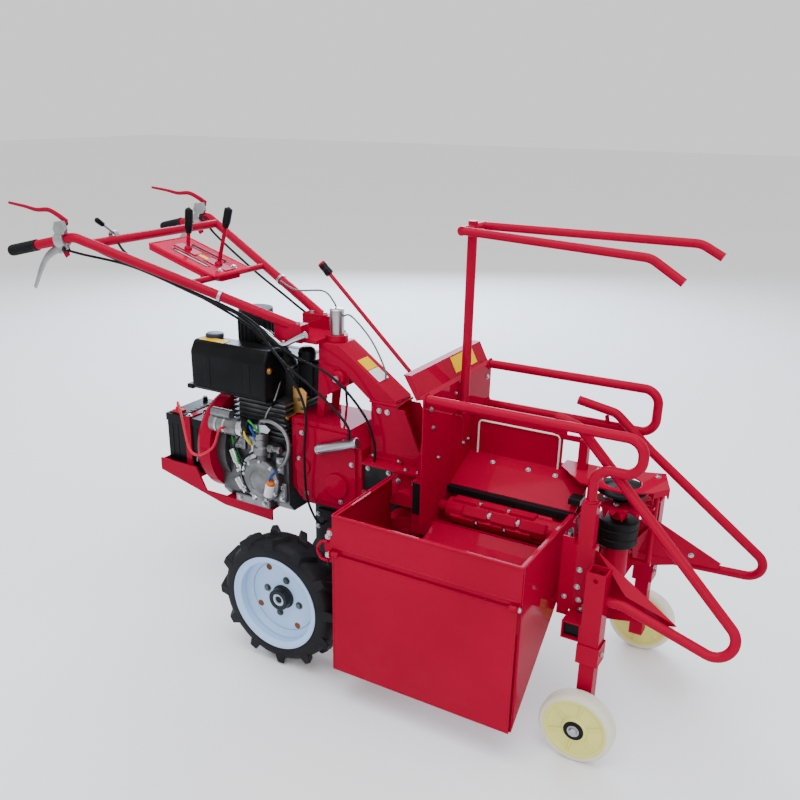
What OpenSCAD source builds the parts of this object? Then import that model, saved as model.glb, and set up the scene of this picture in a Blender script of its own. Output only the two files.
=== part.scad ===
// Walk-behind single-row corn harvester, in millimetres.
// Forward is +X, left is +Y, up is +Z. Sizes are taken from the drive axle
// and the ground, and the whole machine is then moved so that its box is
// centred on the origin and stands on Z = 0.

/* [Drive wheels] */
// Radius over the lug tips
wheel_r = 213; // [190:1:240]
// Height of the lugs
lug_h = 22; // [12:1:30]
// Lugs in each of the two rows
lug_count = 12; // [10:1:16]
// Tyre width
tyre_w = 112; // [90:1:130]
// Distance from the middle to a tyre's middle
half_track = 332; // [310:1:360]
// Radius of the rim's flange
rim_r = 150; // [135:1:160]
// How far the disc sits inside the outer flange
rim_recess = 48; // [20:1:60]
// Radius of the hub
hub_r = 31; // [24:1:40]
// Bolt circle radius of the disc
disc_pcr = 100; // [85:1:110]
// Axle bore radius
axle_bore_r = 14; // [10:0.5:18]

/* [Front wheels] */
// Distance from the drive axle to the front axle
wheelbase = 918; // [850:1:980]
// Front wheel diameter
front_d = 200; // [160:1:240]
// Front wheel width
front_w = 46; // [36:1:60]
// Distance from the middle to a front wheel's middle
front_half_track = 304; // [290:1:330]
// Stub axle diameter
stub_d = 20; // [16:1:25]

/* [Legs and cross beam] */
// Leg socket, outer side of the square tube
socket_s = 50; // [44:1:60]
// Leg, outer side of the square tube
leg_s = 40; // [30:1:44]
// Clearance between leg and socket
leg_fit = 0.4; // [0.2:0.1:1]
// Height of the socket's lower end
socket_z0 = 335; // [300:1:360]
// Height of the socket's upper end
socket_z1 = 535; // [480:1:580]
// Radius of the leg's pin hole
pin_hole_r = 6; // [4:0.5:9]
// Cross beam, outer side of the square tube
beam_s = 50; // [40:1:60]
// Height of the cross beam's top
beam_top = 381; // [360:1:400]
// Wall of the square tubes
tube_wall = 4; // [2.5:0.5:6]

/* [Guide tubes] */
// Diameter of guide, divider and mast tubes
tube_d = 26; // [20:1:32]
// Distance from a leg's middle inwards to a guide loop
loop_in = 50; // [46:1:60]
// Height of the loops' upper run
loop_z1 = 873; // [840:1:900]
// Height of the right loop's lower run
loop_z0 = 780; // [750:1:810]
// Height of the left loop's lower run
left_loop_z0 = 748; // [720:1:790]
// Front end of the right loop
loop_x1 = 978; // [930:1:1020]
// Front end of the left loop
left_loop_x1 = 905; // [870:1:960]
// Distance from a leg's middle inwards to a divider's nose
nose_in = 5; // [-7:1:12]
// Bend radius of a divider's nose
nose_r = 45; // [35:1:55]
// Height of the mast
mast_z1 = 1318; // [1200:1:1400]
// Distance from the middle to an upper guide
guide_y = 62; // [50:1:90]
// Front end of the right upper guide
guide_x1 = 985; // [900:1:1080]
// Front end of the left upper guide
left_guide_x1 = 1042; // [940:1:1100]

/* [Picker head] */
// Front face of the head's rear case
face_x = 395; // [370:1:420]
// Depth of the head's rear case and hood
case_l = 65; // [50:1:90]
// Height of the hood's bottom
hood_z0 = 600; // [580:1:620]
// Height of the hood's top
hood_z1 = 934; // [900:1:960]
// Sheet thickness of hood, bin and decks
sheet_t = 3; // [2:0.5:5]
// Radius of a snapping roll over its blocks
roll_r = 41; // [36:0.5:44]
// Height of the rolls' axes
roll_z = 520; // [505:1:530]
// Sideways place of the gap between the rolls
nip_y = -45; // [-60:1:-30]
// Distance between the rolls' axes
roll_pitch = 94; // [90:1:110]
// Side plate of the head, inner face
side_y = 95; // [85:1:110]
// Height of the deck's lower edge
deck_z0 = 565; // [560:1:580]
// Height of the deck's upper edge
deck_z1 = 628; // [610:1:640]
// Front end of the decks
deck_x1 = 775; // [750:1:778]
// Height of the left wall's top
wall_z1 = 738; // [700:1:770]

/* [Feed wheel] */
// Distance from the cross beam's front to the feed wheel's shaft
feed_back = 20; // [12:1:30]
// Place of the feed wheel's shaft across the machine
feed_y = 46; // [36:1:50]
// Radius of the rubber drum
drum_r = 57; // [40:1:60]
// Height of the rubber drum
drum_h = 78; // [60:1:90]
// Radius over the star's fingers
star_r = 92; // [80:1:94]
// Number of the star's fingers
star_n = 8; // [6:1:10]
// Height of the cover's underside
cover_z = 648; // [640:1:670]
// Radius of the cover's hole
cover_hole_r = 52; // [40:1:60]

/* [Ear bin] */
// Rear end of the bin
bin_x0 = 235; // [225:1:245]
// Front end of the bin
bin_x1 = 784; // [782:1:800]
// Outer face of the bin's side
bin_out = 424; // [400:1:440]
// Height of the bin's rim
bin_z1 = 578; // [560:1:600]
// Height of the door's hinge
hinge_z = 470; // [450:1:490]
// Height of the bin's lower edge
bin_z0 = 100; // [80:1:130]
// Height of the floor's inner end
floor_z1 = 428; // [400:1:440]
// Width of the rim's lip
lip_w = 12; // [8:1:20]
// Radius of the hinge pins
hinge_pin_r = 3; // [2:0.5:5]
// Running clearance of the hinge pins
hinge_fit = 0.05; // [0.02:0.01:0.1]

/* [Transmission] */
// Length of the gearbox ahead of the drive axle
gear_x1 = 124; // [110:1:130]
// Length of the gearbox behind the drive axle
gear_back = 135; // [120:1:150]
// Half width of the gearbox
gear_half_w = 92; // [80:1:110]
// Thickness of the gearbox's side covers
cover_t = 8; // [5:1:12]
// Height of the gearbox's bottom
gear_z0 = 415; // [390:1:430]
// Height of the gearbox's top
gear_z1 = 690; // [660:1:700]
// Diameter of the axle tubes
axle_tube_d = 84; // [70:1:95]
// Half width over the axle tubes
axle_half_w = 234; // [215:1:240]

/* [Engine] */
// Length of the crankcase
engine_l = 272; // [250:1:300]
// Height of the crankcase's bottom
engine_z0 = 365; // [350:1:380]
// Height of the crankcase's top
engine_z1 = 600; // [580:1:620]
// Height of the cylinder's top
cyl_z1 = 735; // [715:1:745]
// Diameter of the muffler
muffler_d = 110; // [90:1:120]
// Number of cooling fins
fin_n = 8; // [5:1:12]
// Radius of the fan shroud
fan_r = 172; // [150:1:185]
// Depth of the fan shroud
fan_l = 66; // [50:1:80]
// Length of the fuel tank
tank_l = 300; // [260:1:330]
// Width of the fuel tank
tank_w = 108; // [90:1:115]
// Height of the fuel tank
tank_h = 165; // [140:1:180]
// Radius of the tank's edges
tank_edge = 22; // [10:1:35]
// Battery length
battery_l = 165; // [140:1:185]
// Battery width
battery_w = 190; // [160:1:200]
// Battery height
battery_h = 195; // [170:1:210]

/* [Handlebars] */
// Handlebar tube diameter
bar_d = 30; // [25:1:34]
// Place of the swivel's axis along the machine
swivel_x = -23; // [-35:1:-15]
// Height of the arm's top
arm_z1 = 931; // [915:1:945]
// Swivel pin radius
swivel_pin_r = 17; // [13:0.5:20]
// Running clearance of the swivel
swivel_fit = 0.3; // [0.2:0.05:0.5]
// Height of the swivel's ring
ring_h = 19; // [14:1:26]
// Height of the lock housing over the ring
lock_h = 75; // [50:1:100]
// Distance from the middle to a grip's bend
bend_y = 312; // [290:1:330]
// Place of the grips' bend along the machine
bend_x = -782; // [-820:1:-740]
// Height of the grips' bend
bend_z = 1217; // [1180:1:1250]
// Grip diameter
grip_d = 36; // [32:1:42]
// Length of a grip
grip_l = 120; // [100:1:140]
// Drop of a grip's end
grip_drop = 60; // [30:1:90]
// Distance from a grip's bend to its end
grip_reach = 265; // [240:1:290]

/* [Cables] */
// Diameter of the control cables
cable_d = 8; // [6:0.5:10]
// Diameter of the battery lead
lead_d = 9; // [7:0.5:12]

/* [Hidden] */

run_in = 0.6;                    // overlap of straight tube and bend
gap = 0.5;                       // seat of a turning piece beside a fixed one
axle_z = wheel_r;
front_z = front_d / 2;
engine_x1 = -gear_back;
engine_x0 = engine_x1 - engine_l;
engine_half_w = 115;
fan_z = (engine_z0 + engine_z1) / 2 + 55;
tank_y0 = -150;
tank_x0 = -490;
head_y0 = tank_y0 + tank_w + 6;  // cylinder head starts beside the tank
head_z1 = cyl_z1 + 90;
head_mid_y = 105;
tray_z = engine_z0 + 47;
battery_x0 = -665;
leg_x = wheelbase;
leg_y = front_half_track - front_w / 2 - 6 - leg_s / 2;
loop_y = leg_y - loop_in;
nose_y = leg_y - nose_in;
hood_half_w = loop_y + tube_d / 2;
beam_x1 = leg_x - socket_s / 2;
beam_x0 = beam_x1 - beam_s;
beam_half = leg_y + socket_s / 2;
rail_h = 42;
col_x0 = beam_x0 - 6;
col_t = 30;
col_x = col_x0 + 28;
col_z1 = loop_z0 - 90;
hinge_y = bin_out + 9;
lug_tip = hinge_y + 8;
bin_in = 15 - nip_y;
bin_rear_in = 107;
feed_x = beam_x1 - feed_back;
post_x0 = 130;
post_x1 = 214;
arm_half_w = 45;
arm_foot_z = 772;
plate_z = 598;
lever_tip_x = -1058;
lever_w = 16;
block_l = (deck_x1 - face_x - 80) / 3.5 - 8;
mast_x = face_x + tube_d / 2 + 4;
deck_y0 = nip_y + 10;
drum_z = beam_top + 89;
star_z = drum_z + drum_h + 42;

// divider routes, each a list of corner points
right_route = [[loop_x1 - 234, -loop_y + tube_d + 0.3, loop_z1 + 11],
    [loop_x1 - 172, -loop_y + tube_d + 14, loop_z1 - 11],
    [leg_x + 458, -nose_y, beam_top - 54], [leg_x + 67, -nose_y, beam_top + 71],
        [leg_x + socket_s / 2, -nose_y, beam_top + 71]];
left_route = [[left_loop_x1 - 217, loop_y - tube_d - 0.4, loop_z1 - 56],
    [left_loop_x1 - 105, loop_y - tube_d - 0.4, loop_z1 - 76],
    [left_loop_x1 + 5, loop_y - tube_d - 0.4, loop_z1 - 170], [leg_x + 388, nose_y, beam_top - 13],
        [leg_x + 67, nose_y, beam_top - 29], [leg_x + socket_s / 2, nose_y, beam_top - 29]];
loop_bend = 42;

panel_x0 = -690;
panel_x1 = -420;
bar_x = -100;
function bar_at(s, x) = let (a = [bar_x, s * 68, arm_z1 + 37], b = [bend_x, s * bend_y, bend_z])
    a + (b - a) * (x - bar_x) / (bend_x - bar_x);
panel_bar_x = -440;
// foot place, top place, top height and knob length of each gear lever
lever_xs = [[-478, -423, bend_z + 84, 66], [-604, -589, bend_z + 73, 82]];
function panel_top(x) = bar_at(1, panel_bar_x).z + 13 - (x - panel_bar_x) * 0.3;
function grip_dir(s) = unit([-grip_reach, s * 34, -grip_drop]);
function grip_at(s, d) = [bend_x, s * bend_y, bend_z] + grip_dir(s) * d;
grip_len = norm([grip_reach, 34, grip_drop]);

function unit(v) = v / norm(v);
function turn(p, i) = acos(min(1, max(-1, unit(p[i] - p[i - 1]) * unit(p[i + 1] - p[i]))));
function setback(p, i, r) = (i == 0 || i == len(p) - 1) ? 0 : r * tan(turn(p, i) / 2);
function inward(p, i) = let (u = unit(p[i] - p[i - 1]), w = unit(p[i + 1] - p[i])) unit(w - u * (u * w));
function bend_centre(p, i, r) = p[i] - unit(p[i] - p[i - 1]) * setback(p, i, r) + inward(p, i) * r;

front_most = bend_centre(right_route, 2, nose_r).x + nose_r + tube_d / 2;
rear_most = lever_tip_x - lever_w / 2;
mid_x = (front_most + rear_most) / 2;
mid_y = (half_track + tyre_w / 2 - lug_tip) / 2;

module in_frame() translate([-mid_x, -mid_y, 0]) children();
module box(a, b) translate(a) cube(b - a);
module rod(a, b, d) {
    v = b - a;
    translate(a) rotate([0, acos(v.z / norm(v)), atan2(v.y, v.x)]) cylinder(d = d, h = norm(v), $fn = 32);
}
module along_x(x0, x1, y, z, r) translate([x0, y, z]) rotate([0, 90, 0]) cylinder(r = r, h = x1 - x0,
    $fn = 48);
module along_y(x, y0, y1, z, r) translate([x, y1, z]) rotate([90, 0, 0]) cylinder(r = r, h = y1 - y0,
    $fn = 48);
module along_z(x, y, z0, z1, r) translate([x, y, z0]) cylinder(r = r, h = z1 - z0, $fn = 48);
// a side outline in X and Z, given its thickness across the machine
module side_sheet(y0, y1, outline) translate([0, y1, 0]) rotate([90, 0, 0]) linear_extrude(y1 - y0)
    polygon(outline);
// a cross outline in Y and Z, given its length along the machine
module cross_sheet(x0, x1, outline) translate([x0, 0, 0]) rotate([90, 0, 90]) linear_extrude(x1 - x0)
    polygon(outline);

// straight runs reach a little into the bends, which are a hair thinner
module bent_tube(p, r, d) {
    last = len(p) - 1;
    for (i = [0 : last - 1]) {
        u = unit(p[i + 1] - p[i]);
        a = i == 0 ? 0 : setback(p, i, r) - run_in;
        b = i + 1 == last ? 0 : setback(p, i + 1, r) - run_in;
        rod(p[i] + u * a, p[i + 1] - u * b, d);
    }
    for (i = [1 : last - 1]) {
        n = inward(p, i);
        u = unit(p[i] - p[i - 1]);
        z = cross(u, n) * -1;
        c = bend_centre(p, i, r);
        multmatrix([[-n.x, u.x, -z.x, c.x], [-n.y, u.y, -z.y, c.y], [-n.z, u.z, -z.z, c.z]])
            rotate_extrude(angle = turn(p, i), $fn = 48) translate([r, 0]) circle(d = d - 0.1, $fn = 32);
    }
}
// a flat three-cornered sheet, thickened to the side its corners turn about
module corner_sheet(a, b, c, t) {
    n = unit(cross(b - a, c - a)) * t;
    polyhedron([a, b, c, a + n, b + n, c + n], [[0, 1, 2], [5, 4, 3], [1, 0, 3, 4], [2, 1, 4, 5],
        [0, 2, 5, 3]]);
}
// a round cord swept along a smooth curve through its points
function smooth(p, i, t) = let (a = p[max(i - 1, 0)], b = p[i], c = p[i + 1], d = p[min(i + 2, len(p) - 1)])
    0.5 * (2 * b + (c - a) * t + (2 * a - 5 * b + 4 * c - d) * t * t + (3 * b - a - 3 * c + d) * t * t * t);
function curve(p, n) = [for (k = [0 : n - 1]) let (u = k * (len(p) - 1) / (n - 1),
    i = min(floor(u), len(p) - 2)) smooth(p, i, u - i)];
module cord(p, n, d, sides = 8) {
    q = curve(p, n);
    polyhedron(
        [for (k = [0 : n - 1]) let (v = unit(q[min(k + 1, n - 1)] - q[max(k - 1, 0)]), e = unit(cross(v,
            [0.2, 1, 0.1])), f = cross(v, e))
            for (j = [0 : sides - 1]) q[k] + (e * cos(j * 360 / sides) + f * sin(j * 360 / sides)) * d / 2],
        concat([[for (j = [0 : sides - 1]) j]], [[for (j = [sides - 1 : -1 : 0]) (n - 1) * sides + j]],
            [for (k = [0 : n - 2], j = [0 : sides - 1]) [k * sides + j, (k + 1) * sides + j,
                k * sides + (j + 1) % sides]],
            [for (k = [0 : n - 2], j = [0 : sides - 1]) [(k + 1) * sides + j, (k + 1) * sides + (j + 1)
                % sides, k * sides + (j + 1) % sides]]));
}
module square_tube(a, b, wall, axis) {
    difference() {
        box(a, b);
        if (axis == "y") box(a + [wall, -1, wall], b - [wall, -1, wall]);
        if (axis == "z") box(a + [wall, wall, -1], b - [wall, wall, -1]);
    }
}

module gearbox() color("red") in_frame() {
    side_sheet(-gear_half_w, gear_half_w, [[-gear_back, gear_z0 + 40], [-gear_back + 40, gear_z0],
        [gear_x1 - 50, gear_z0],
        [gear_x1, gear_z0 + 50], [gear_x1, gear_z1 - 60], [gear_x1 - 40, gear_z1], [-gear_back, gear_z1]]);
    for (s = [-1, 1]) {
        side_sheet(s * gear_half_w - cover_t, s * gear_half_w + cover_t, [[20 - gear_back, gear_z0 + 52],
            [54 - gear_back, gear_z0 + 20], [gear_x1 - 60, gear_z0 + 20],
            [gear_x1 - 18, gear_z0 + 62], [gear_x1 - 18, gear_z1 - 70], [gear_x1 - 50, gear_z1 - 18],
                [20 - gear_back, gear_z1 - 18]]);
        along_y(gear_x1 - 84, s * (gear_half_w + 5) - 12, s * (gear_half_w + 5) + 12, gear_z0 + 84, 40);
        along_y(45 - gear_back, s * (gear_half_w + 3) - 10, s * (gear_half_w + 3) + 10, gear_z0 + 122, 28);
    }
}
module axle_housing() color("black") in_frame() {
    side_sheet(-60, 60, [[-72, axle_z], [-72, gear_z0], [62, gear_z0], [62, axle_z]]);
    box([-86, -74, gear_z0 - 14], [76, 74, gear_z0]);
    along_y(0, -60, 60, axle_z, 92);
    for (s = [-1, 1]) {
        side_sheet(s * 60 - 8, s * 60 + 8, [[-58, axle_z], [-58, gear_z0 - 30], [48, gear_z0 - 30],
            [48, axle_z]]);
        along_y(0, s * 60 - 8, s * 60 + 8, axle_z, 78);
        along_y(0, s * (axle_half_w - 9) - 9, s * (axle_half_w - 9) + 9, axle_z, axle_tube_d / 2 + 13);
    }
    along_y(0, -axle_half_w, axle_half_w, axle_z, axle_tube_d / 2);
}
module tie_bar() color("silver") in_frame()
    along_x(gear_x1 - 164, gear_x1 - 4, -gear_half_w - cover_t - 17, gear_z1 - 42, 17);

module engine_block() color("silver") in_frame() {
    cross_sheet(engine_x0, engine_x1, [[-engine_half_w, engine_z0 + 30],
        [-engine_half_w + 26, engine_z0], [engine_half_w - 26, engine_z0],
        [engine_half_w, engine_z0 + 30], [engine_half_w, engine_z1 - 20],
            [engine_half_w - 20, engine_z1], [-engine_half_w + 20, engine_z1],
            [-engine_half_w, engine_z1 - 20]]);
    along_x(engine_x0, engine_x0 + 36, -5, fan_z, fan_r - 34);
    along_y(engine_x1 - 94, -engine_half_w - 24, -engine_half_w + 4, engine_z0 + 105, 74);
    along_y(engine_x1 - 94, -engine_half_w - 34, -engine_half_w - 20, engine_z0 + 105, 30);
    along_z(engine_x1 - 92, -engine_half_w - 12, engine_z0 + 170, engine_z1 + 34, 20);
    box([engine_x1 - 150, -engine_half_w - 16, engine_z1 - 50], [engine_x1 - 60, -engine_half_w + 4,
        engine_z1 - 12]);
    box([engine_x0 + 70, -100, engine_z1 - 2], [engine_x1 - 20, 110, cyl_z1]);
    for (i = [0 : fin_n - 1]) {
        z = engine_z1 + 14 + i * (cyl_z1 - engine_z1 - 24) / (fin_n - 1);
        box([engine_x0 + 58, -111, z], [engine_x1 - 8, 122, z + 5]);
    }
    box([engine_x0 + 75, head_y0, cyl_z1 - 2], [engine_x1 - 30, 105, head_z1]);
}
module fan_shroud() color("red") in_frame() translate([engine_x0, -5, fan_z]) rotate([0, -90, 0])
    difference() {
    rotate_extrude($fn = 96) polygon([[0, 0], [fan_r, 0], [fan_r, fan_l - 22], [fan_r - 7, fan_l - 8],
        [fan_r - 22, fan_l], [fan_r - 76, fan_l], [fan_r - 76, fan_l - 14], [0, fan_l - 14]]);
}
module fuel_tank() color("black") in_frame() {
    translate([tank_x0, tank_y0, cyl_z1]) hull()
        for (x = [tank_edge, tank_l - tank_edge], y = [tank_edge, tank_w - tank_edge])
            translate([x, y, 0]) { cylinder(r = tank_edge,
                h = tank_h - tank_edge, $fn = 32); translate([0,
                0, tank_h - tank_edge]) sphere(r = tank_edge, $fn = 32); }
    along_z(tank_x0 + 60, tank_y0 + tank_w / 2, cyl_z1 + tank_h - 2, cyl_z1 + tank_h + 14, 30);
}
module air_cleaner() color("black") in_frame() {
    along_z(engine_x1 - 165, 40, head_z1, head_z1 + 42, 28);
    along_z(engine_x1 - 215, 20, head_z1 + 40, head_z1 + 165, 56);
    for (z = [head_z1 + 52, head_z1 + 128]) along_z(engine_x1 - 215, 20, z, z + 10, 60);
}
module muffler() color("gray") in_frame() {
    along_x(engine_x0, engine_x1 - 35, head_mid_y + muffler_d / 2 + 32, cyl_z1 + 35, muffler_d / 2);
    along_y(engine_x1 - 135, 105, head_mid_y + muffler_d / 2 + 32, cyl_z1 + 40, 20);
    along_x(engine_x0 - 50, engine_x0 + 4, head_mid_y + muffler_d / 2 + 32, cyl_z1 + 35, 16);
}
module starter_motor() color("silver") in_frame() {
    along_x(engine_x0, engine_x0 + 108, -engine_half_w - 31, engine_z1 + 40, 31);
    along_x(engine_x0 + 8, engine_x0 + 84, -engine_half_w - 42, engine_z1 + 80, 15);
}
module battery() color("black") in_frame() {
    box([battery_x0, -battery_w / 2, tray_z], [battery_x0 + battery_l, battery_w / 2,
        tray_z + battery_h - 24]);
    box([battery_x0 - 3, -battery_w / 2 - 3, tray_z + battery_h - 26],
        [battery_x0 + battery_l + 3, battery_w / 2 + 3, tray_z + battery_h]);
    for (s = [-1, 1]) along_z(battery_x0 + 30, s * 70, tray_z + battery_h - 1, tray_z + battery_h + 16, 9);
}
module engine_frame() color("red") in_frame() {
    for (s = [-1, 1]) side_sheet(s * 122 - 3, s * 122 + 3, [[battery_x0 - 17, tray_z - 9],
        [battery_x0 - 17, tray_z + 34], [battery_x0 + 145, tray_z + 34], [engine_x0 - 72, engine_z0 + 3],
        [engine_x1 - 65, engine_z0 + 3], [engine_x1 - 65, engine_z0 - 38],
            [engine_x0 + 7, engine_z0 - 30]]);
    box([battery_x0 - 15, -121, tray_z - 6], [battery_x0 + 154, 121, tray_z]);
    box([battery_x0 - 16, -121, tray_z - 3], [battery_x0 - 10, 121, tray_z + 30]);
    for (s = [-1, 1]) box([engine_x0 + 9, s * 98 - 23, engine_z0 - 6],
        [engine_x1 - 68, s * 98 + 23, engine_z0]);
}
module battery_strap() color("red") in_frame() cross_sheet(battery_x0 + 85,
    battery_x0 + 109, [[-battery_w / 2 - 7, tray_z], [-battery_w / 2 - 7, tray_z + battery_h + 4],
    [battery_w / 2 + 7, tray_z + battery_h + 4], [battery_w / 2 + 7, tray_z],
    [battery_w / 2 + 3, tray_z], [battery_w / 2 + 3, tray_z + battery_h],
        [-battery_w / 2 - 3, tray_z + battery_h], [-battery_w / 2 - 3, tray_z]]);

module arm() color("red") in_frame() {
    side_sheet(-arm_half_w, arm_half_w, [[-62, arm_z1], [12, arm_z1], [post_x1, arm_foot_z + 16],
        [post_x1, arm_foot_z], [post_x0, arm_foot_z],
        [post_x0 - 20, arm_foot_z + 14], [10, arm_z1 - 68], [-62, arm_z1 - 68]]);
    for (s = [-1, 1]) side_sheet(s * 40 - 5, s * 40 + 5, [[-72, gear_z1], [-62, arm_z1 - 20],
        [10, arm_z1 - 20], [44, arm_z1 - 110], [44, gear_z1]]);
    along_y(14, -arm_half_w - 14, -arm_half_w + 2, arm_z1 - 101, 23);
    along_y(14, -arm_half_w - 22, -arm_half_w - 12, arm_z1 - 101, 11);
    box([post_x0 - 8, -arm_half_w - 5, arm_foot_z], [post_x1 + 6, arm_half_w + 5, arm_foot_z + 8]);
}
module lock_housing() color("silver") in_frame() {
    along_z(swivel_x, 0, arm_z1, arm_z1 + ring_h + 2 * gap, swivel_pin_r);
    along_z(swivel_x, 0, arm_z1 + ring_h + 2 * gap, arm_z1 + ring_h + lock_h, swivel_pin_r + 5);
}
module head_post() color("red") in_frame() {
    box([post_x0, -50, plate_z - 1], [post_x1, 50, arm_foot_z]);
    for (s = [-1, 1]) side_sheet(s * 47 - 3, s * 47 + 3, [[post_x1 - 2, plate_z - 1],
        [post_x1 - 2, arm_foot_z - 6], [post_x1 + 30, arm_foot_z - 6], [post_x1 + 86, plate_z + 40],
        [post_x1 + 86, plate_z - 1]]);
    box([gear_x1, -100, plate_z - 8], [face_x - case_l, 100, plate_z]);
    box([post_x0 - 4, -62, plate_z - 1], [post_x1 + 30, 62, plate_z + 9]);
    box([gear_x1, -80, plate_z - 100], [face_x - case_l, 80, plate_z - 7]);
}
module head_case() color("red") in_frame() {
    box([face_x - case_l, -150, 440], [face_x, side_y + 6, hood_z0]);
    box([face_x - case_l, nip_y - 15, beam_top - 4], [face_x, side_y + 6, 441]);
}
module hood() color("red") in_frame() {
    difference() {
        side_sheet(-hood_half_w, hood_half_w, [[face_x - case_l, hood_z0], [face_x - case_l, hood_z1],
            [face_x - 42, hood_z1],
            [face_x - 14, hood_z1 - 54], [face_x, hood_z1 - 60], [face_x, hood_z0]]);
        side_sheet(-hood_half_w + sheet_t, hood_half_w - sheet_t, [[face_x - case_l + sheet_t,
            hood_z0 - 1], [face_x - case_l + sheet_t, hood_z1 - sheet_t],
            [face_x - 42 - sheet_t / 2, hood_z1 - sheet_t],
                [face_x - 14 - sheet_t, hood_z1 - 54 - sheet_t],
                [face_x - sheet_t, hood_z1 - 60 - sheet_t], [face_x - sheet_t, hood_z0 - 1]]);
    }
    box([face_x - sheet_t, -hood_half_w, roll_z - 20], [face_x, -150.5, hood_z0 + 1]);
    box([face_x - 1, -30, hood_z0 + 20], [face_x + 4, -24, hood_z1 - 90]);
}
module head_frame() color("red") in_frame() {
    side_sheet(side_y, side_y + 6, [[face_x, beam_top], [face_x, wall_z1], [deck_x1 - 95, wall_z1],
        [deck_x1 - 95, cover_z], [deck_x1 - 15, cover_z],
        [deck_x1 - 15, 450], [beam_x1 - 6, 450], [beam_x1 - 6, beam_top]]);
    box([deck_x1 - 40, side_y - 24, cover_z + 4.4], [deck_x1 - 15, side_y, wall_z1]);
    box([deck_x1 - 120, side_y - 4, wall_z1 - 16], [deck_x1 - 15, side_y + 2, wall_z1]);
    box([face_x, nip_y - 15, beam_top], [beam_x1 - 6, nip_y + 15, beam_top + rail_h]);
    difference() {
        cross_sheet(deck_x1, deck_x1 + 6, [[-136, 446], [nip_y - 14, 446],
            [nip_y - 14, beam_top + rail_h - 1], [side_y + 1, beam_top + rail_h - 1],
            [side_y + 1, deck_z0 - 8], [-136, deck_z0 - 8]]);
        for (s = [-1, 1]) along_x(deck_x1 - 1, deck_x1 + 7, nip_y + s * roll_pitch / 2, roll_z, 12 + gap);
    }
}
module left_deck() color("red") in_frame()
    cross_sheet(face_x, deck_x1, [[deck_y0, deck_z0], [deck_y0, deck_z0 + sheet_t],
        [side_y, deck_z1 + sheet_t], [side_y, deck_z1]]);
module rubber_strip() color("black") in_frame()
    box([face_x, deck_y0 - 22, deck_z0 - 16], [deck_x1, deck_y0, deck_z0 + 2]);

module bin_end(x0, inner) cross_sheet(x0, x0 + sheet_t, [[-bin_out, bin_z0], [-bin_out, bin_z1],
    [-inner, bin_z1], [-inner, floor_z1 + 9], [-bin_in, floor_z1 + 9], [-bin_in, floor_z1]]);
module bin() color("red") in_frame() {
    bin_end(bin_x0, bin_rear_in);
    bin_end(bin_x1 - sheet_t, bin_in + 10);
    cross_sheet(bin_x0, bin_x1, [[-bin_out, bin_z0], [-bin_out, bin_z0 + 4], [-bin_in, floor_z1 + 4],
        [-bin_in, floor_z1]]);
    box([bin_x0, -bin_out, hinge_z - 4], [bin_x1, -bin_out + sheet_t, bin_z1]);
    box([bin_x0, -bin_out, bin_z1 - sheet_t], [bin_x1, -bin_out + lip_w, bin_z1]);
    box([bin_x0, -bin_out, bin_z1 - sheet_t], [bin_x0 + lip_w, -bin_rear_in, bin_z1]);
    box([bin_x1 - lip_w, -bin_out, bin_z1 - sheet_t], [bin_x1, -bin_in - 10, bin_z1]);
    box([bin_x0, -bin_in - sheet_t, floor_z1 - 40], [bin_x1, -bin_in, floor_z1 + 6]);
    box([bin_x1 - 1, -bin_in - 140, beam_top - 4], [beam_x0, -bin_in, beam_top]);
    for (x = [bin_x0, bin_x1 - sheet_t]) box([x, -lug_tip, hinge_z - 9],
        [x + sheet_t, -bin_out + 1, hinge_z + 9]);
    side_sheet(-bin_out, -bin_out + 5, [[bin_x0 - 20, hinge_z - 34], [bin_x0 - 26, hinge_z + 20],
        [bin_x0 - 14, hinge_z + 66], [bin_x0 + 1, hinge_z + 66], [bin_x0 + 1, hinge_z - 34]]);
    along_x(bin_x0, bin_x0 + 24, -hinge_y, hinge_z, hinge_pin_r);
    along_x(bin_x1 - 24, bin_x1, -hinge_y, hinge_z, hinge_pin_r);
}
module bin_door() color("red") in_frame() {
    difference() {
        union() {
            box([bin_x0 + 5, -hinge_y + 2, bin_z0 - 2], [bin_x1 - 5, -hinge_y + 5, hinge_z - 3]);
            for (x = [bin_x0 + sheet_t + gap, bin_x1 - sheet_t - gap - 20]) along_x(x,
                x + 20, -hinge_y, hinge_z, 6);
        }
        for (x = [bin_x0, bin_x1 - 30]) along_x(x, x + 30, -hinge_y, hinge_z, hinge_pin_r + hinge_fit);
    }
}

module right_column() color("red") in_frame() {
    box([col_x0, -loop_y - col_t / 2, beam_top], [beam_x1, -loop_y + col_t / 2, beam_top + 190]);
    box([col_x0 + 8, -loop_y - col_t / 2, beam_top + 189], [col_x0 + 48, -loop_y + col_t / 2, col_z1]);
    box([col_x0 - 30, -loop_y - col_t / 2, beam_top - 20], [col_x0 + 1, -loop_y - col_t / 2 + 5,
        beam_top + 206]);
}
module cross_beam() color("red") in_frame()
    square_tube([beam_x0, -beam_half, beam_top - beam_s], [beam_x1, beam_half, beam_top], tube_wall, "y");

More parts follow.
